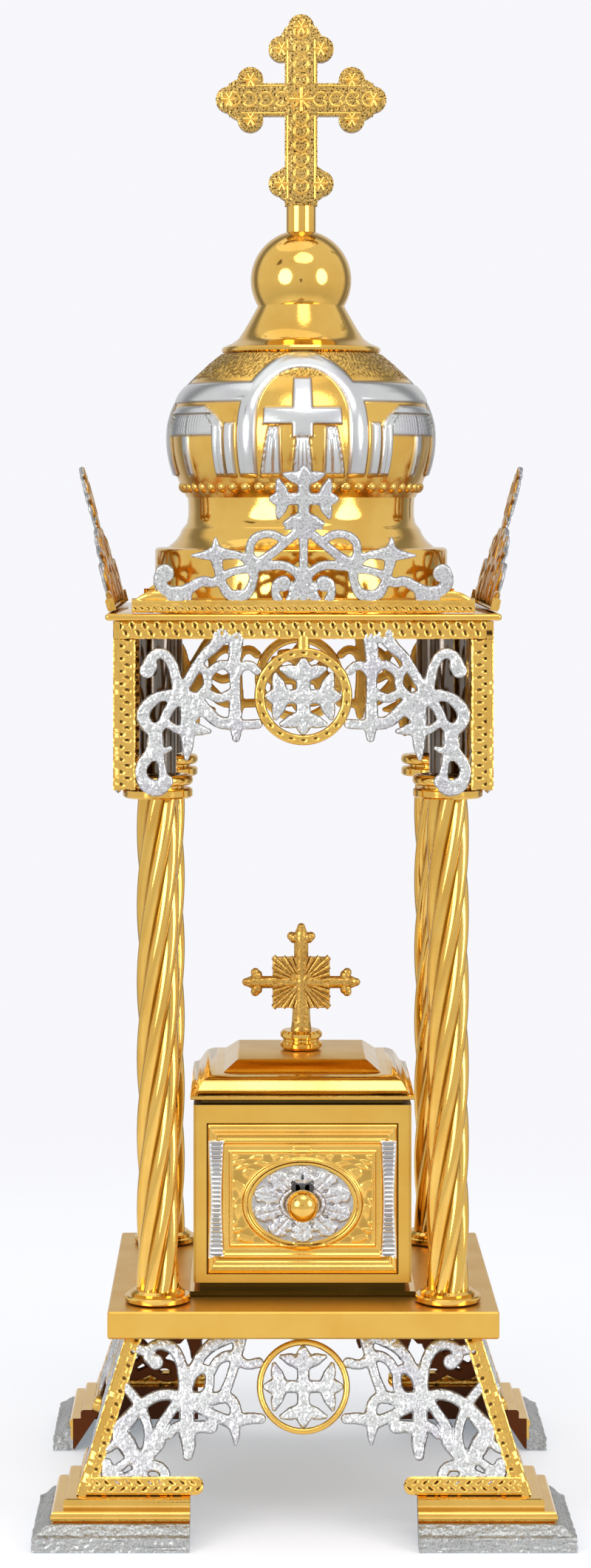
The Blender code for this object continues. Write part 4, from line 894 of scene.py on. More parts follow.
CANOPY_LINES = [
    canopy_line((0.93, 0.79, 5.2), (0.915, 0.825, 5.6), (0.90, 0.88, 3.8), (0.845, 0.905, 3.7),
                (0.79, 0.85, 3.6), (0.755, 0.73, 4.0), (0.73, 0.63, 5.2)),
    canopy_line((0.71, 0.68, 3.6), (0.65, 0.79, 3.6), (0.60, 0.88, 3.5), (0.53, 0.955, 4.4),
                (0.49, 1.02, 5.8)),
    canopy_line((0.62, 0.83, 2.9), (0.575, 0.76, 3.0), (0.572, 0.69, 3.0), (0.61, 0.63, 3.4)),
    canopy_line((0.575, 0.75, 2.8), (0.525, 0.81, 3.0), (0.47, 0.83, 3.2), (0.42, 0.79, 3.2)),
    canopy_line((0.55, 0.63, 3.0), (0.50, 0.61, 3.2), (0.43, 0.64, 3.2)),
    canopy_line((0.40, 1.00, 5.0), (0.41, 0.83, 4.2), (0.405, 0.66, 3.4), (0.405, 0.49, 4.6),
                (0.40, 0.40, 4.0), (0.40, 0.345, 2.6)),
    canopy_line((0.41, 0.73, 3.0), (0.37, 0.81, 3.2), (0.32, 0.825, 3.1), (0.275, 0.79, 3.0)),
    canopy_line((0.73, 0.62, 6.4), (0.65, 0.585, 6.2), (0.575, 0.52, 4.6), (0.505, 0.455, 4.2),
                (0.417, 0.44, 4.4), (0.35, 0.435, 3.2), (0.27, 0.44, 3.2)),
    canopy_line((0.70, 0.60, 4.6), (0.69, 0.47, 5.0), (0.69, 0.37, 5.2), (0.69, 0.28, 3.8),
                (0.695, 0.21, 1.4)),
    canopy_line((0.68, 0.42, 4.6), (0.62, 0.40, 4.0), (0.56, 0.39, 1.4)),
    canopy_line((0.67, 0.46, 3.0), (0.63, 0.50, 2.4), (0.60, 0.51, 1.4)),
    canopy_line((0.69, 0.40, 3.6), (0.745, 0.40, 3.0), (0.80, 0.435, 2.6)),
    canopy_line((0.74, 0.62, 4.6), (0.855, 0.62, 3.8), (0.925, 0.565, 4.4), (0.955, 0.50, 5.0),
                (0.935, 0.435, 4.6), (0.885, 0.39, 4.8)),
    canopy_line((0.75, 0.60, 3.6), (0.80, 0.535, 3.4), (0.835, 0.45, 3.4), (0.87, 0.40, 4.0)),
    canopy_line((0.88, 0.40, 4.8), (0.882, 0.33, 6.0), (0.885, 0.25, 6.0)),
    canopy_line((0.91, 0.24, 4.4), (0.962, 0.16, 4.2), (0.962, 0.09, 4.4), (0.925, 0.035, 5.4),
                (0.862, 0.02, 6.0), (0.815, 0.06, 4.6)),
    canopy_line((0.86, 0.24, 3.0), (0.84, 0.15, 2.6), (0.83, 0.06, 3.6)),
    canopy_line((0.86, 0.255, 2.6), (0.82, 0.265, 2.2), (0.79, 0.28, 1.4)),
]
TOP_ROWS = ((0.0023, 0.5, 0.0014, 0.35), (0.0050, 0.0, 0.0014, 0.35))
SIDE_ROWS = ((0.0027, 0.0, 0.0013, 0.1), (0.0053, 0.5, 0.0013, 0.1))


def canopy_panel():
    """Cast the front canopy panel flat, with its middle at X = 0."""
    centre = (0.0, CANOPY_RING_HEIGHT)
    cross = cross_strokes(centre, CANOPY_RING - CANOPY_RING_BAND, *CANOPY_CROSS_ARM)
    parts = [cast_silver(CANOPY_LINES, cross, CANOPY_THICK * 0.9, SCROLL_ROUND)]
    top = border("canopy_top", 2 * CANOPY_HALF, CANOPY_TOP_BAND, CANOPY_THICK, TOP_ROWS)
    top.data.transform(Matrix.Translation((-CANOPY_HALF, CANOPY_FIELD, 0.0)))
    side = border("canopy_side", CANOPY_FIELD, CANOPY_SIDE_BAND, CANOPY_THICK, SIDE_ROWS)
    side.data.transform(Matrix.Translation((CANOPY_HALF, 0.0, 0.0)) @ Matrix.Rotation(math.pi / 2, 4, "Z"))
    parts += [top, mirror_piece(side)]
    parts.append(ring_band(centre, CANOPY_RING, CANOPY_RING_BAND, CANOPY_THICK, CANOPY_RING_SLITS))
    stem = [(0.0, CANOPY_RING_HEIGHT + CANOPY_RING - 0.001, 0.0046), (0.0, CANOPY_FIELD + 0.001, 0.0046)]
    parts.append(strokes("canopy_stem", [stem], chased_gold, CANOPY_THICK))
    return join("canopy_panel_master", parts)


canopy_master = canopy_panel()
stand_panel(canopy_master, Vector((0.0, CANOPY_THICK / 2 - CANOPY_HALF, CANOPY_BOTTOM)))
finish_panel(canopy_master, "hanging_panel", "canopy_panel", gold_with_painted_shade)

# Roof plate
# A thin square plate over the canopy panels, gold plated and polished, with a rounded edge.

ROOF_HALF = 0.0740
ROOF_BOTTOM = 0.3400
ROOF_TOP = 0.3426


def add_box(name, low, high, material=None):
    """Add a closed box between two corners."""
    low, high = Vector(low), Vector(high)
    bpy.ops.mesh.primitive_cube_add(size=1.0, location=(low + high) / 2)
    made = bpy.context.object
    made.name = name
    made.scale = high - low
    apply_place(made)
    if material:
        made.data.materials.append(material)
    return made


roof_low = (-ROOF_HALF, -ROOF_HALF, ROOF_BOTTOM)
roof = add_box("rounded_roof_plate", roof_low, (ROOF_HALF, ROOF_HALF, ROOF_TOP), polished_gold)
bpy.ops.object.mode_set(mode="EDIT")
bpy.ops.mesh.select_all(action="SELECT")
bpy.ops.mesh.bevel(offset=0.0012, segments=4, affect="EDGES")
bpy.ops.object.mode_set(mode="OBJECT")
bpy.ops.object.shade_smooth_by_angle(angle=math.radians(40))
show(roof, "roof_plate")

# Crests
# Four openwork castings stand on the roof plate and lean outwards: a gold band with slanted slits
# at the foot, and silver plated curls and leaves that rise to a small cross.

CREST_BAND_HALF = 0.0640
CREST_BAND = 0.0048
CREST_THICK = 0.0034
CREST_LEAN = math.radians(15.0)
CREST_SETBACK = 0.0022
CREST_LOSS = 0.3
CREST_ROUND = 1.1
CREST_CROSS_ARM = (0.0130, 0.0046, 0.0140)


def crest_line(*points):
    """Turn (across, up over the band, width), all in mm, into points of a line."""
    return [(across * 0.001, CREST_BAND + up * 0.001, (wide * CANOPY_GROWTH + CREST_LOSS) * 0.001)
            for across, up, wide in points]


CREST_LINES = [
    crest_line((0.8, 27.5, 3.4), (6.0, 22.8, 3.2), (10.8, 18.7, 3.2), (14.8, 15.6, 3.4), (18.0, 13.4, 4.6)),
    crest_line((7.2, 22.6, 2.8), (10.6, 24.9, 2.9), (14.8, 25.2, 2.9), (18.6, 23.2, 3.0), (20.0, 18.7, 3.0),
               (19.0, 13.8, 4.6)),
    crest_line((0.4, 6.2, 3.0), (3.6, 11.2, 3.2), (8.4, 13.3, 3.3), (14.0, 12.9, 3.3), (18.2, 13.2, 4.6)),
    crest_line((18.6, 12.5, 4.0), (19.0, 6.4, 3.2), (22.0, 1.7, 4.4), (26.8, 1.5, 4.4), (30.2, 6.0, 3.3),
               (31.6, 12.0, 3.3), (32.2, 16.6, 3.8)),
    crest_line((19.6, 14.4, 4.0), (24.0, 17.0, 2.6), (27.6, 17.4, 3.6), (32.4, 17.6, 6.0), (36.4, 17.2, 3.4),
               (41.6, 17.0, 0.8)),
    crest_line((32.3, 13.5, 3.4), (32.4, 17.8, 5.2), (32.6, 20.6, 2.8), (32.7, 23.8, 0.8)),
    crest_line((20.2, 12.0, 3.2), (26.0, 10.8, 2.8), (30.8, 8.6, 3.2), (33.4, 6.6, 3.6), (37.6, 7.0, 3.8),
               (42.0, 4.6, 4.0), (46.8, 2.4, 5.2), (51.6, 3.8, 4.6), (53.6, 8.0, 4.2), (51.6, 10.2, 6.6)),
    crest_line((0.4, 9.5, 3.0), (2.8, 4.6, 3.3), (4.6, -0.6, 4.0)),
    crest_line((7.4, 5.0, 3.6), (6.2, 7.4, 2.4), (9.4, 7.0, 2.6), (10.6, 3.4, 2.8), (9.4, -0.6, 3.6)),
    crest_line((24.4, 1.6, 4.0), (24.4, -0.8, 4.6)),
    crest_line((43.5, 2.4, 4.0), (44.5, -0.8, 5.4)),
    crest_line((49.0, 1.6, 4.0), (49.0, -0.8, 4.4)),
    crest_line((0.0, 31.0, 2.6), (3.8, 28.6, 2.4), (6.8, 27.4, 0.8)),
]
CREST_STEM = crest_line((0.0, -0.6, 3.2), (0.0, 20.0, 3.0), (0.0, 30.0, 4.0), (0.0, 34.0, 2.6),
                        (0.0, 39.6, 3.0))
CREST_CROSS = 0.0388
CREST_ROWS = ((0.0016, 0.0, 0.0008, 0.9),)
CREST_PITCH = 0.0025
CREST_HUMP = ((0.0625, -0.0010, 0.0020), (0.0585, 0.0008, 0.0036), (0.0530, 0.0012, 0.0040),
              (0.0470, -0.0010, 0.0020))


def crest():
    """Cast the front crest flat, with its middle at X = 0."""
    cross = cross_strokes((0.0, CREST_BAND + CREST_CROSS), *CREST_CROSS_ARM)
    parts = [cast_silver(CREST_LINES, [CREST_STEM] + cross, CREST_THICK * 0.7, CREST_ROUND)]
    band = border("crest_band", 2 * CREST_BAND_HALF, CREST_BAND, CREST_THICK, CREST_ROWS, CREST_PITCH)
    band.data.transform(Matrix.Translation((-CREST_BAND_HALF, 0.0, 0.0)))
    humps = [[(side * x, CREST_BAND + y, width) for x, y, width in CREST_HUMP] for side in (-1, 1)]
    parts += [band, strokes("crest_humps", humps, chased_gold, CREST_THICK * 0.8)]
    return join("crest_master", parts)


crest_master = crest()
sink = CREST_THICK / 2 * math.sin(CREST_LEAN) + 0.0003
stand_panel(crest_master, Vector((0.0, CREST_SETBACK - ROOF_HALF, ROOF_TOP + sink)), CREST_LEAN)
finish_panel(crest_master, "openwork_crest", "crest", gold_with_painted_shade)

# Drum
# A spun brass drum with a sloping step and a hollow waist, gold plated and mirror polished.
# It carries the dome.

DOME_BOTTOM = 0.3860
DRUM = [
    (0.0568, ROOF_TOP + 0.0003), (0.0574, ROOF_TOP + 0.0009), (0.0574, 0.3652), (0.0570, 0.3660),
    (0.0562, 0.3664),
    (0.0524, 0.3665), (0.0518, 0.3670), (0.0495, 0.3690), (0.0478, 0.3712), (0.0468, 0.3735),
    (0.0460, 0.3745),
    (0.0449, 0.3760), (0.0444, 0.3785), (0.0443, 0.3810), (0.0444, 0.3835), (0.0446, DOME_BOTTOM + 0.0004)]

show(turned("spun_drum", DRUM, 128, polished_gold, 30), "drum")

# Dome
# A spun dome with applied castings: three round arches, each with a silver cross above three
# hangings, and between them flat-headed portals. A row of beads runs round its foot.

DOME_RADIUS = 0.0516
DOME_FOOT_RADIUS = 0.0449
DOME_BELLY = 0.4095
DOME_TOP = 0.4425
DOME_TOP_RADIUS = 0.0310
RELIEF_BAYS = 3
BEAD_COUNT = 52
BEAD_HEIGHT = 0.3902
BEAD_RADIUS = 0.0025
BEAD_PROUD = 0.0008

ARCH_HALF = 0.0215
ARCH_BAND = 0.0034
ARCH_SPRING = 0.4176
ARCH_CROWN = 0.4392
ARCH_ROUND = 2.4
BAY_EDGE = math.radians(60.0) * DOME_RADIUS
RELIEF_FOOT = 0.3945
PORTAL_LEG = (0.0326, 0.0375)
PORTAL_HEAD = (0.4183, 0.4213)
LINTEL_FOOT = 0.4100
PILLAR = ((0.0265, RELIEF_FOOT), (0.0298, 0.4145))
LATTICE_PITCH = 0.0017
COLLAR = (0.4228, 0.4304)
ARCH_CROSS = (((-1.0, 0.4090), (0.0039, 0.4318)), ((-1.0, 0.4140), (0.0150, 0.4202)))
HANGING_TOP = 0.4095
HANGING_AWAY = 0.0112


def dome_radius(height):
    """Return the dome's radius at a height."""
    if height < DOME_BELLY:
        turn = (DOME_BELLY - height) / (DOME_BELLY - DOME_BOTTOM)
        return DOME_RADIUS - (DOME_RADIUS - DOME_FOOT_RADIUS) * turn ** 2
    turn = (height - DOME_BELLY) / (DOME_TOP - DOME_BELLY)
    return DOME_RADIUS - (DOME_RADIUS - DOME_TOP_RADIUS) * turn ** 2.1


def slab(distance, half, soft=0.0005):
    """Return 1 within half a width of a line and fall to 0 just outside it."""
    return 1.0 - smooth_step(distance, half - soft, half + soft)


def box_slab(x, height, low, high, soft=0.0005):
    """Return 1 inside an upright rectangle on the dome and fall to 0 just outside it."""
    far_x = max(low[0] - x, x - high[0])
    far_z = max(low[1] - height, height - high[1])
    return 1.0 - smooth_step(max(far_x, far_z), -soft, soft)


def arch_castings(x, height):
    """Return how far the arch and what hangs in it stand out, and how much of it is silver."""
    if height < ARCH_SPRING:
        off = abs(x - ARCH_HALF)
    else:
        rise = (height - ARCH_SPRING) / (ARCH_CROWN - ARCH_SPRING)
        reach = ((x / ARCH_HALF) ** ARCH_ROUND + rise ** ARCH_ROUND) ** (1 / ARCH_ROUND)
        off = abs(reach - 1.0) * (ARCH_HALF + ARCH_CROWN - ARCH_SPRING) / 2
    stands = smooth_step(height, RELIEF_FOOT - 0.0004, RELIEF_FOOT + 0.0004)
    band = slab(off, ARCH_BAND) * stands
    level = band * (0.0008 + 0.0010 * math.cos(min(1.0, off / ARCH_BAND) * math.pi / 2))
    silver = band
    if x < ARCH_HALF and height < ARCH_CROWN:
        cross = max(box_slab(x, height, low, high) for low, high in ARCH_CROSS)
        level = max(level, 0.0014 * cross)
        silver = max(silver, cross)
        spread = (HANGING_TOP - height) / (HANGING_TOP - RELIEF_FOOT)
        half = 0.0024 + 0.0016 * spread
        for middle in (0.0, HANGING_AWAY):
            away = x - middle - 0.0015 * spread * (middle > 0)
            cloth = box_slab(0.0, height, (-1.0, RELIEF_FOOT), (1.0, HANGING_TOP + 0.0035))
            cloth *= slab(abs(away), half)
            fold = 0.5 + 0.5 * math.cos(away / half * 7.0)
            level = max(level, cloth * (0.0007 + 0.0006 * fold))
            silver = max(silver, cloth)
    return level, silver


def portal_castings(x, around, height):
    """Return how far the pillars, portals and collar between two arches stand out; all are silver."""
    pillar = box_slab(x, height, *PILLAR)
    bend = max(0.0, height - 0.4120) ** 2 / 0.0075
    inner, outer = PORTAL_LEG
    low, high = PORTAL_HEAD
    leg = box_slab(around, height, (inner + bend, RELIEF_FOOT), (outer + bend, low))
    groove = slab(abs(around - bend - (inner + outer) / 2), 0.0003, 0.0003)
    head = box_slab(around, height, (inner + bend, low), (1.0, high), 0.0004)
    lintel = box_slab(around, height, (outer + bend, LINTEL_FOOT), (1.0, low))
    grid = 0.5
    for run in (around, height):
        grid += 0.25 * math.cos(run * math.tau / LATTICE_PITCH)
    middle = box_slab(around, height, (BAY_EDGE - 0.0022, RELIEF_FOOT), (1.0, LINTEL_FOOT))
    rise = (2 * height - sum(COLLAR)) / (COLLAR[1] - COLLAR[0])
    collar = box_slab(x, height, (0.0205, COLLAR[0]), (1.0, COLLAR[1]))
    bulge = 0.0006 + 0.0012 * math.sqrt(max(0.0, 1.0 - rise * rise))
    level = max(0.0011 * pillar, leg * (0.0012 - 0.0005 * groove), 0.0016 * head,
                lintel * (0.0003 + 0.0006 * grid), 0.0010 * middle, collar * bulge)
    return level, max(pillar, leg, head, lintel, middle, collar)


def dome_relief(turn, height):
    """Return how far the castings stand out at a place, how much is silver and how much painted shade it has.
    """
    bay = math.tau / RELIEF_BAYS
    local = abs((turn + bay / 2) % bay - bay / 2)
    x = DOME_RADIUS * math.sin(local)
    around = DOME_RADIUS * local
    level, silver = arch_castings(x, height)
    outside = x > ARCH_HALF or height > ARCH_CROWN
    if outside:
        portal_level, portal_silver = portal_castings(x, around, height)
        level, silver = max(level, portal_level), max(silver, portal_silver)
    stipple = smooth_step(height, 0.4318, 0.4328) * (1 - silver)
    lumps = noise.noise(Vector((turn * 60, height * 1300, 0.0)))
    level += stipple * 0.0006 * lumps
    # Painted shade in the stipple's low spots and along the edges of the silver castings.
    edge = 4 * silver * (1 - silver)
    dark = max(0.75 * stipple * smooth_step(-lumps, -0.05, 0.22), 0.5 * edge)
    return level, silver, dark


def two_plate(name):
    """Return a plating of gold, with silver where the piece's mask says so."""
    material, tree, shader = new_material(name, {"Metallic": 1.0})
    gold = surface_node(tree, GOLD, GOLD_SHADE, 0.10, 0.12, 900.0)
    silver = surface_node(tree, SILVER, SILVER_SHADE, 0.14, 0.16, 900.0)
    mask = add_node(tree, "Attribute", attribute_name="silver_mask").outputs["Fac"]
    for output, kind, entry in (("Colour", "RGBA", "Base Color"), ("Roughness", "FLOAT", "Roughness")):
        mix = add_node(tree, "Mix", {"Factor": mask, "A": gold[output], "B": silver[output]}, data_type=kind)
        link(tree, mix.outputs["Result"], shader.inputs[entry])
    bump = add_node(tree, "Bump", {"Strength": 0.6, "Distance": 0.00006, "Height": gold["Height"]})
    link(tree, bump.outputs["Normal"], shader.inputs["Normal"])
    return material


two_plating = two_plate("gold_and_silver")


def add_dome():
    """Wrap a fine grid round the dome, raise its castings and close it at both ends."""
    def place(u, v):
        turn = u * math.tau
        height = DOME_BOTTOM + (DOME_TOP - DOME_BOTTOM - 0.0003) * past_rim(v, 0.02)
        level, silver, dark = dome_relief(turn, height)
        radius = dome_radius(height) + level if 0.002 < v < 0.998 else 0.0
        return (radius * math.sin(turn), -radius * math.cos(turn), height), dark, silver

    dome = sheet("dome_with_castings", 600, 100, place, two_plating)
    bpy.ops.object.mode_set(mode="EDIT")
    return make_closed(dome, 50)


def add_beads():
    """Set the row of beads round the dome's foot."""
    bpy.ops.mesh.primitive_uv_sphere_add(segments=14, ring_count=10, radius=BEAD_RADIUS,
                                         location=(0.0, -DOME_FOOT_RADIUS - BEAD_PROUD, BEAD_HEIGHT))
    first = bpy.context.object
    apply_place(first)
    bpy.ops.object.shade_smooth()
    first.data.materials.append(polished_gold)
    turns = [math.tau * index / BEAD_COUNT for index in range(1, BEAD_COUNT)]
    return join("bead_row", [first] + [copy_turned(first, "bead", turn) for turn in turns])


show(add_dome(), "dome")
bead_row = add_beads()
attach(bead_row, "tabernacle")

# Lantern
# A flared spun cup turned over on the dome, with a polished ball and a short stem that
# holds the cross, all gold plated.

BALL_RADIUS = 0.0198
BALL_HEIGHT = 0.4714
LANTERN_WAIST = 0.0170
STEM_RADIUS = 0.0058
STEM_TOP = 0.5004


def lantern_profile():
    """Return the lantern's stations from its rim up to the stem's top."""
    profile = [(0.0303, DOME_TOP), (0.0311, DOME_TOP + 0.0006), (0.0313, 0.4440), (0.0309, 0.4448),
               (0.0298, 0.4454),
               (0.0270, 0.4466), (0.0246, 0.4484), (0.0225, 0.4515), (0.0206, 0.4548), (0.0188, 0.4580)]
    start = math.asin(LANTERN_WAIST / BALL_RADIUS)
    stop = math.pi - math.asin(STEM_RADIUS / BALL_RADIUS)
    for step in range(25):
        turn = start + (stop - start) * step / 24
        profile.append((BALL_RADIUS * math.sin(turn), BALL_HEIGHT - BALL_RADIUS * math.cos(turn)))
    profile.append((STEM_RADIUS, STEM_TOP))
    return profile


show(turned("spun_lantern", lantern_profile(), 128, polished_gold, 30), "lantern")

# Top cross
# A flat cast cross with three round lobes on each arm, gold plated. Its face is chased with
# small leaves inside a plain raised rim.

CROSS_RISE = 0.0753
CROSS_SPAN = 0.0670
CROSS_BAR = 0.0128
CROSS_THICK = 0.0062
CROSS_LOBE = 0.0051
CROSS_BUD_SPREAD = 0.0077
CROSS_BUD_SETBACK = 0.0136
CROSS_FOOT_BUDS = 0.0088
CROSS_FILL = 0.0084
CROSS_FOOT_FILL = 0.0032
CROSS_FILL_SETBACK = 0.0112
LEAF_PITCH = 0.0058


engraved_gold = plating("engraved_gold", (0.66, 0.43, 0.125), (0.50, 0.27, 0.05), 0.20, 0.12,
                        700.0, 0.00030, 1.0, 1.0)


def flat_cross(name, bars, lobes, thickness, edge, material):
    """Unite upright bars and round lobes in the XY plane into one bevelled plate."""
    made = [add_box(name, (*low, -thickness / 2), (*high, thickness / 2)) for low, high in bars]
    for (x, y), radius in lobes:
        bpy.ops.mesh.primitive_cylinder_add(vertices=40, radius=radius, depth=thickness, location=(x, y, 0))
        made.append(bpy.context.object)
        apply_place(made[-1])
    body = made.pop(0)
    for other in made:
        change(body, "BOOLEAN", operation="UNION", object=other)
        bpy.data.objects.remove(other)
    bpy.ops.object.mode_set(mode="EDIT")
    bpy.ops.mesh.select_all(action="SELECT")
    bpy.ops.mesh.remove_doubles(threshold=0.00002)
    bpy.ops.mesh.dissolve_limited(angle_limit=math.radians(2))
    bpy.ops.object.mode_set(mode="OBJECT")
    change(body, "BEVEL", width=edge, segments=3, limit_method="ANGLE", angle_limit=math.radians(60))
    body.data.materials.append(material)
    bpy.ops.object.shade_smooth_by_angle(angle=math.radians(30))
    return body


def leaf_sprays(paths, level):
    """Chase pairs of small curled leaves along straight paths at a level over the face."""
    lines = []
    for start, stop in paths:
        start, stop = Vector(start), Vector(stop)
        way = (stop - start).normalized()
        side = Vector((-way.y, way.x))
        count = max(1, round((stop - start).length / LEAF_PITCH))
        for index in range(count):
            root = start + (stop - start) * (index + 0.1) / count
            for sign in (-1, 1):
                mid = root + way * 0.0022 + side * sign * 0.0026
                tip = root + way * 0.0050 + side * sign * 0.0016
                curl = root + way * 0.0042 + side * sign * 0.0002
                lines.append([(*root, 0.0010), (*mid, 0.0015), (*tip, 0.0013), (*curl, 0.0008)])
    return strokes("leaf_sprays", lines, chased_gold, 0.0016, 0.8, lift=level)


def star(x, y, reach, count, start, stop):
    """Return the lines of petals that widen from a centre, spread evenly round it."""
    turns = [math.tau * index / count for index in range(count)]
    return [[(x, y, start), (x + reach * math.cos(turn), y + reach * math.sin(turn), stop)] for turn in turns]


def top_cross_lobes():
    """Return the round lobes of the budded cross, with its foot at Y = 0."""
    arm = CROSS_RISE - CROSS_SPAN / 2
    reach = CROSS_SPAN / 2
    lobes = [((side * CROSS_BUD_SPREAD, CROSS_FOOT_BUDS), CROSS_LOBE) for side in (-1, 1)]
    lobes += [((side * CROSS_FOOT_FILL, CROSS_FOOT_BUDS), CROSS_FILL - 0.0010) for side in (-1, 1)]
    for tip, way in (((0.0, CROSS_RISE), (0, 1)), ((reach, arm), (1, 0)), ((-reach, arm), (-1, 0))):
        tip, way = Vector(tip), Vector(way)
        lobes.append((tuple(tip - way * CROSS_FILL_SETBACK), CROSS_FILL))
        side = Vector((-way.y, way.x))
        lobes.append((tuple(tip - way * CROSS_LOBE), CROSS_LOBE))
        for sign in (-1, 1):
            lobes.append((tuple(tip - way * CROSS_BUD_SETBACK + side * sign * CROSS_BUD_SPREAD), CROSS_LOBE))
    return lobes


def rim_lines(arm, reach, half):
    """Return thin raised lines along both edges of the four bars."""
    inset = half - 0.0010
    width = 0.0009
    lines = []
    for sign in (-1, 1):
        for low, high in ((0.0030, arm - half), (arm + half, CROSS_RISE - 0.0100)):
            lines.append([(sign * inset, low, width), (sign * inset, high, width)])
        for side in (-1, 1):
            height = arm + sign * inset
            lines.append([(side * half, height, width), (side * (reach - 0.0100), height, width)])
    return lines


def add_top_cross():
    """Make the cross with petals on its lobes and crossing, rims and leaves along its bars, and stand it on
    the stem.
    """
    arm = CROSS_RISE - CROSS_SPAN / 2
    reach = CROSS_SPAN / 2
    half = CROSS_BAR / 2
    bars = [((-half, 0.0), (half, CROSS_RISE - CROSS_LOBE)),
            ((CROSS_LOBE - reach, arm - half), (reach - CROSS_LOBE, arm + half))]
    parts = [flat_cross("budded_cross", bars, top_cross_lobes(), CROSS_THICK, 0.0008, engraved_gold)]
    paths = [((0.0, 0.004), (0.0, arm - 0.005)), ((0.0, arm + 0.004), (0.0, CROSS_RISE - 0.004)),
             ((0.004, arm), (reach - 0.004, arm)), ((-0.004, arm), (0.004 - reach, arm))]
    petals = star(0.0, arm, 0.0046, 8, 0.0010, 0.0020) + rim_lines(arm, reach, half)
    for (x, y), radius in top_cross_lobes():
        if radius <= CROSS_LOBE:
            petals += star(x, y, radius * 0.55, 6, 0.0009, 0.0019)
    for sign in (-1, 1):
        level = sign * (CROSS_THICK / 2 - 0.0001)
        parts.append(leaf_sprays(paths, level))
        parts.append(strokes("lobe_petals", petals, chased_gold, 0.0014, 0.8, lift=level))
    return stand_panel(join("budded_cross", parts), Vector((0.0, 0.0, STEM_TOP + 0.0001)))


show(add_top_cross(), "top_cross")

# Ark
# A small square box of folded brass on a stepped base, gold plated, with the drawer in its front.
# The box is satin, and the base is polished, with a painted dark reflection on its upright edges.

ARK_CENTRE = -0.0040

# Dark olive plating that stands for painted reflection on the base's upright faces and painted shadow in the
# gap under the lid.
painted_shadow_and_reflection = plating("painted_shadow_and_reflection", (0.085, 0.06, 0.015), (0.04, 0.025, 0.008), 0.12, 0.10)
for name, material in (("ark_base", polished_gold), ("ark_body", satin_gold)):
    nodes[name].data.materials.clear()
    nodes[name].data.materials.append(material)
    nodes[name].data.materials.append(painted_shadow_and_reflection)
# Painted reflection: the base's upright faces are plated dark, as if mirroring dark surroundings.
for face in nodes["ark_base"].data.polygons:
    face.material_index = 1 if abs(face.normal.z) < 0.5 else 0

# Drawer
# Its front is a gold plated casting with a moulded frame, two silver ladder strips and a leafy
# field in low relief. Behind it is a plain tray of folded sheet.

drawer_low, drawer_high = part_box("drawer")
DRAWER_FRONT = 0.0046
FRAME_SIDE = 0.0065
FRAME_HIGH = 0.0084
FIELD_DEEP = 0.0016
STRIP_MIDDLE = 0.0328
STRIP_END = 0.0062
STRIP_HALF = 0.0025
RUNG_PITCH = 0.0017
TRAY_INSET = 0.0012
TRAY_RISE = 0.0420
TRAY_WALL = 0.0014
OVAL = (0.0199, 0.0151)
OVAL_HEIGHT = drawer_low.z + 0.0264
FRAME_STEPS = [(0.0, 0.0007), (0.05, 0.0003), (0.18, 0.0), (0.32, 0.0003), (0.38, 0.0008), (0.50, 0.0009),
               (0.55, 0.0015), (0.64, 0.0015), (0.70, 0.0008), (0.82, 0.0007), (0.90, 0.0013),
               (1.0, FIELD_DEEP)]


def frame_depth(share):
    """Return how deep the frame's moulding lies at a share of its width."""
    for (start, deep), (stop, deeper) in zip(FRAME_STEPS, FRAME_STEPS[1:]):
        if share <= stop:
            return deep + (deeper - deep) * (share - start) / (stop - start)
    return FIELD_DEEP


def strip_relief(x, height, rise):
    """Return how much of a place is silver strip, how deep it lies and how much painted shade lies between
    its rungs.
    """
    off = abs(abs(x) - STRIP_MIDDLE)
    half = STRIP_HALF + 0.0005 * math.cos(height / rise * math.tau)
    ends = min(height, rise - height) - STRIP_END
    if off > half + 0.0003 or ends < -0.0003:
        return 0.0, 0.0, 0.0
    strip = slab(off, half, 0.0002) * smooth_step(ends, -0.0002, 0.0002)
    outline = max(smooth_step(off, half - 0.0008, half - 0.0005), 1.0 - smooth_step(ends, 0.0004, 0.0008))
    rung = smooth_step(abs((height / RUNG_PITCH) % 1.0 - 0.5), 0.12, 0.28)
    raised = max(outline, 1.0 - rung)
    return strip, 0.0010 - 0.0006 * raised, 0.40 * (1.0 - raised)


def field_relief(x, height, half, rise):
    """Return the field's depth and painted shade: a raised line, leafy corners with shade painted between the
    leaves, and plain middle tabs.
    """
    edge = min(half - abs(x), height - FRAME_HIGH, rise - FRAME_HIGH - height)
    away = math.hypot(x / OVAL[0], (height - OVAL_HEIGHT + drawer_low.z) / OVAL[1])
    line = slab(abs(edge - 0.0021), 0.0004, 0.0003)
    ridge = slab(abs(away - 1.10), 0.045, 0.03)
    tab = slab(abs(x), 0.0034, 0.0004) * (1.0 - smooth_step(edge, 0.0030, 0.0036))
    swirl = noise.noise(Vector((abs(x) * 120, height * 120, 2.0)))
    curl = math.sin(abs(x) * 700 + 6 * swirl) * math.sin(height * 700 + 6 * swirl)
    leafy = smooth_step(edge, 0.0030, 0.0036) * smooth_step(away, 1.16, 1.22) * (1.0 - tab)
    leaves = leafy * smooth_step(curl, -0.15, 0.45)
    depth = FIELD_DEEP - 0.0005 * line - 0.0008 * ridge - 0.0003 * tab - 0.0004 * leaves
    # Painted shade in the hollows between the leaves.
    dark = 0.34 * leafy * (1.0 - smooth_step(curl, -0.25, 0.15))
    return depth, dark


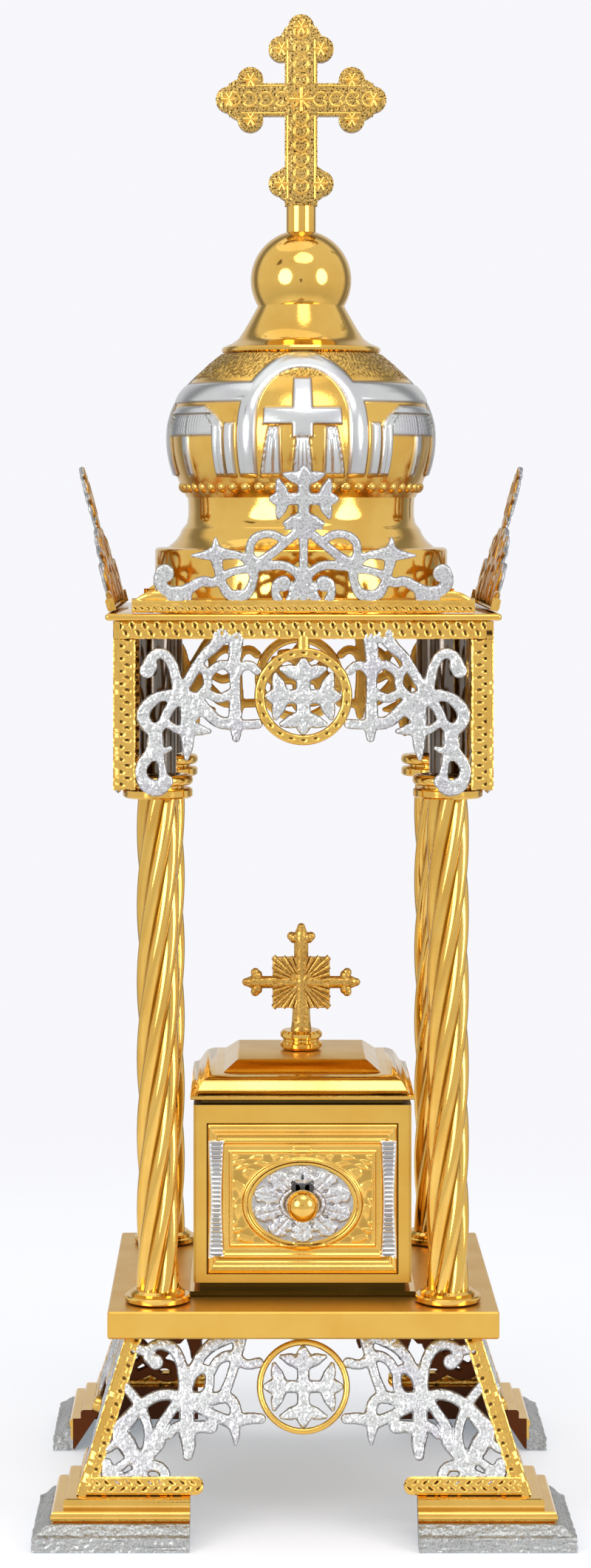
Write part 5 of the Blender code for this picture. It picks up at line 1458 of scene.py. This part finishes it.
def drawer_front():
    """Raise the drawer's show side from a fine grid whose rim goes back over the tray."""
    half = drawer_high.x
    rise = drawer_high.z - drawer_low.z

    def place(u, v):
        x = half * (2 * past_rim(u, 0.005) - 1)
        height = rise * past_rim(v, 0.005)
        share = min((half - abs(x)) / FRAME_SIDE, min(height, rise - height) / FRAME_HIGH)
        # The frame's deepest groove gets a line of painted shade.
        depth, dark = frame_depth(share), 0.34 * slab(abs(share - 0.60), 0.07, 0.04)
        if share >= 1.0:
            depth, dark = field_relief(x, height, half - FRAME_SIDE, rise)
        strip, strip_depth, strip_dark = strip_relief(x, height, rise)
        depth += (strip_depth - depth) * strip
        if not 0.002 < u < 0.998 or not 0.002 < v < 0.998:
            depth = DRAWER_FRONT
        return (x, drawer_low.y + depth, drawer_low.z + height), dark + (strip_dark - dark) * strip, strip

    return sheet("drawer_front", 256, 200, place, two_plating)


def drawer_tray():
    """Fold the open tray behind the front, with the front's own back plate."""
    side = drawer_high.x - TRAY_INSET
    bottom = drawer_low.z + TRAY_INSET
    front_back = drawer_low.y + DRAWER_FRONT
    low, high = Vector((-side, front_back, bottom)), Vector((side, drawer_high.y, bottom + TRAY_RISE))
    wall = Vector((TRAY_WALL, 0.0, TRAY_WALL))
    tray = add_box("drawer_tray", low - Vector((0.0, 0.0002, 0.0)), high, satin_gold)
    well = add_box("drawer_well", low + wall, high + Vector((-TRAY_WALL, -TRAY_WALL, TRAY_RISE)))
    change(tray, "BOOLEAN", operation="DIFFERENCE", object=well)
    bpy.data.objects.remove(well)
    inset = Vector((0.0001, 0.0, 0.0001))
    back_low = Vector((drawer_low.x, drawer_low.y + 0.0026, drawer_low.z)) + inset
    back_high = Vector((drawer_high.x, front_back, drawer_high.z)) - inset
    return join("drawer_tray", [tray, add_box("drawer_back", back_low, back_high, satin_gold)])


for piece in (drawer_front(), drawer_tray()):
    show(piece, "drawer", "drawer")

# Rosette and knob
# The oval rosette is a stamped silver plated wreath of broad leaves. The knob is turned brass,
# gold plated and mirror polished. Just above it sits a dark keyhole, widened into a painted shadow.

rosette_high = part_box("drawer_rosette")[1]
knob_low, knob_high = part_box("drawer_knob")
LEAF_COUNT = 10
LEAF_ROOT = 0.46
KNOB_LIFT = 0.0015


def leaf_height(turn, share):
    """Return how high the wreath is at a turn and a share of the way out, and how much painted shade it has
    there.
    """
    if share < LEAF_ROOT:
        ring = slab(abs(share - 0.40), 0.045, 0.02)
        return 0.0004 + 0.0007 * ring, 0.25 * (1.0 - ring) * smooth_step(share, 0.30, 0.36)
    along = (share - LEAF_ROOT) / (1.0 - LEAF_ROOT)
    around = abs((turn / math.tau * LEAF_COUNT) % 1.0 - 0.5)
    lobes = 1.0 + 0.16 * math.cos(along * math.tau * 2.5)
    half = 0.54 * math.sqrt(max(0.0, math.sin(math.pi * (0.25 + 0.75 * along)))) * lobes
    inside = 1.0 - smooth_step(around, half - 0.09, half + 0.01)
    vein = 1.0 - smooth_step(around, 0.02, 0.09)
    crown = math.sqrt(max(0.0, 1.0 - (around / max(half, 0.01)) ** 2))
    height = 0.0002 + inside * (0.0004 + 0.0006 * crown - 0.0003 * vein)
    # Painted shade between the leaves and in their veins.
    return height, max(0.40 * (1.0 - inside), 0.28 * vein * inside)


def add_rosette():
    """Stamp the rosette: a thin oval sheet whose leaves rise from a fine round grid."""
    def place(u, v):
        turn = u * math.tau
        share = past_rim(v, 0.02)
        height, dark = leaf_height(turn, share)
        if v > 0.995:
            height = 0.0
        reach = 0.97 * share
        x, z = OVAL[0] * reach * math.cos(turn), OVAL[1] * reach * math.sin(turn)
        return (x, rosette_high.y - height, OVAL_HEIGHT + z), dark

    wreath = sheet("leafy_rosette", 240, 56, place, chased_silver)
    bpy.ops.object.mode_set(mode="EDIT")
    return make_closed(wreath, 60)


def add_knob():
    """Turn the knob and lay it on its side before the rosette."""
    reach = knob_high.y - knob_low.y
    profile = [(0.0036, 0.0), (0.0038, 0.0004), (0.0028, 0.0010), (0.0026, 0.0016)]
    for step in range(1, 16):
        turn = math.radians(155 - 155 * step / 16)
        profile.append((0.0062 * math.sin(turn), reach - 0.0053 + 0.0053 * math.cos(turn)))
    profile.append((0.0002, reach))
    made = turned("turned_knob", profile, 48, polished_gold)
    made.data.transform(Matrix.Translation((0.0, knob_high.y, (knob_low.z + knob_high.z) / 2 + KNOB_LIFT))
                        @ Matrix.Rotation(math.pi / 2, 4, "X"))
    return made


# Dark plating for the keyhole and for the painted shadow that its wide bar stands for.
keyhole_shadow_plating = plating("keyhole_and_painted_shadow", (0.10, 0.10, 0.105), (0.06, 0.06, 0.06), 0.5)
# The first, wide line is the keyhole widened into painted shadow above the knob; the second is a small dark
# mark above it.
keyhole_and_shadow_lines = [[(-0.0026, 0.0, 0.0038), (0.0026, 0.0, 0.0038)],
                 [(0.0, 0.0038, 0.0014), (0.0, 0.0046, 0.0010)]]
keyhole = strokes("keyhole", keyhole_and_shadow_lines, keyhole_shadow_plating, 0.0006, 0.5, True)
stand_panel(keyhole, Vector((0.0, rosette_high.y - 0.0011, knob_high.z + KNOB_LIFT - 0.0002)))
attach(keyhole, "drawer")
show(add_rosette(), "drawer_rosette", "drawer")
show(add_knob(), "drawer_knob", "drawer")

# Lid
# The ark's hipped lid is pressed and soldered brass sheet, gold plated, hollow below. It lies
# loose on the box; the lip in the gap under its rim is plated dark as painted shadow.

lid_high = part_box("ark_lid")[1]
LID_LIP = 0.0385
LID_LIP_WALL = 0.0020
LID_RIM = 0.0427
LID_PROFILE = [
    (LID_LIP - LID_LIP_WALL, 0.1575), (LID_LIP - LID_LIP_WALL, 0.1549), (LID_LIP, 0.1549), (LID_LIP, 0.1568),
    (LID_RIM - 0.0002, 0.1568), (LID_RIM, 0.1570), (LID_RIM, 0.1580), (LID_RIM - 0.0003, 0.1583),
    (0.0412, 0.1586), (0.0401, 0.1594), (0.0392, 0.1608), (0.0383, 0.1624), (0.0372, 0.1637),
    (0.0356, 0.1646), (0.0340, 0.1651), (0.0327, 0.1652), (0.0301, 0.1653), (0.0297, 0.1657),
    (0.0250, 0.1693), (0.0243, lid_high.z), (0.0002, lid_high.z)]


def add_lid():
    """Raise the lid from a small square inside its hollow, round its rim and up to its top."""
    root = math.sqrt(2)
    profile = [(0.0002 * root, 0.1625), (0.0290 * root, 0.1625)]
    profile += [(reach * root, height) for reach, height in LID_PROFILE]
    made = turned("hipped_lid", profile, 4, polished_gold, 28)
    made.data.transform(Matrix.Translation((0.0, ARK_CENTRE, 0.0)) @ Matrix.Rotation(math.pi / 4, 4, "Z"))
    made.data.materials.append(satin_gold)
    made.data.materials.append(painted_shadow_and_reflection)
    for face in made.data.polygons:
        if face.normal.z > 0.98 and face.center.z > lid_high.z - 0.0002:
            face.material_index = 1
        # Painted shadow: the lip below the rim, in the gap over the box, gets the dark plating.
        if face.center.z < LID_PROFILE[3][1] + 0.0001:
            face.material_index = 2
    return made


show(add_lid(), "ark_lid")

# Lid cross
# A small cast cross, gold plated, on two turned discs: a square block behind the crossing, with
# pleats that fan out to its edges, and three-lobed ends on the arms.

LID_CROSS_BOTTOM = lid_high.z + 0.0003
LID_DISC = 0.0082
LID_ARM_HEIGHT = 0.0260
LID_REACH = 0.0226
LID_BLOCK = Vector((0.0112, 0.0100))
LID_BLOCK_THICK = 0.0022

carved_gold = plating("carved_gold", (0.66, 0.40, 0.10), (0.48, 0.23, 0.045), 0.18, 0.12,
                      700.0, 0.0002, 0.8, 0.40)


def lid_cross_lines():
    """Return the lines of the three arms with their budded ends, and of the upright's foot."""
    root = Vector((0.0, LID_ARM_HEIGHT))
    lines = [[(0.0, 0.0062, 0.0084), (0.0, 0.0110, 0.0072), (0.0, 0.0180, 0.0064), (*root, 0.0062)]]
    for way, wide in ((Vector((1, 0)), 0.0048), (Vector((-1, 0)), 0.0048), (Vector((0, 1)), 0.0056)):
        side = Vector((-way.y, way.x))
        tip = root + way * LID_REACH
        lines.append([(*root, 0.0060), (*(root + way * 0.0110), wide), (*(tip - way * 0.0062), wide),
                      (*(tip - way * 0.0032), 0.0050), (*(tip - way * 0.0010), 0.0032)])
        for sign in (-1, 1):
            bud = tip - way * 0.0050 + side * sign * 0.0030
            end = tip - way * 0.0046 + side * sign * 0.0038
            lines.append([(*(tip - way * 0.0058), 0.0036), (*bud, 0.0046), (*end, 0.0036)])
    return lines


def lid_cross_pleats():
    """Return the rays that fan out from the crossing to the edges of the square block."""
    lines = star(0.0, LID_ARM_HEIGHT, 0.0048, 8, 0.0014, 0.0028)
    for degrees in range(6, 360, 12):
        way = Vector((math.cos(math.radians(degrees)), math.sin(math.radians(degrees))))
        reach = min(LID_BLOCK.x / abs(way.x), LID_BLOCK.y / abs(way.y)) - 0.0002
        start, stop = way * 0.0035, way * reach
        lines.append([(start.x, LID_ARM_HEIGHT + start.y, 0.0008), (stop.x, LID_ARM_HEIGHT + stop.y, 0.0022)])
    return lines


def add_lid_cross():
    """Cast the lid's cross with its pleated block and stand it on its discs."""
    root = Vector((0.0, LID_ARM_HEIGHT))
    parts = [strokes("lid_cross_lines", lid_cross_lines(), carved_gold, 0.0048, 0.74, True)]
    parts.append(flat_cross("lid_cross_block", [(root - LID_BLOCK, root + LID_BLOCK)], [], LID_BLOCK_THICK,
                            0.0004, carved_gold))
    for sign in (-1, 1):
        parts.append(strokes("pleats", lid_cross_pleats(), carved_gold, 0.0018, 0.9, lift=sign * 0.0012))
    parts = [stand_panel(join("lid_cross_face", parts), Vector((0.0, 0.0, 0.0)))]
    for bottom in (0.0, 0.0040):
        disc = rounded_disc(LID_DISC, bottom, bottom + 0.0034, 0.0010)
        parts.append(turned("disc", disc, 48, polished_gold))
    parts.append(turned("disc_waist", [(0.0070, 0.0030), (0.0070, 0.0044)], 48, polished_gold))
    cross = join("carved_lid_cross", parts)
    cross.data.transform(Matrix.Translation((0.0, ARK_CENTRE, LID_CROSS_BOTTOM)))
    return cross


show(add_lid_cross(), "lid_cross")
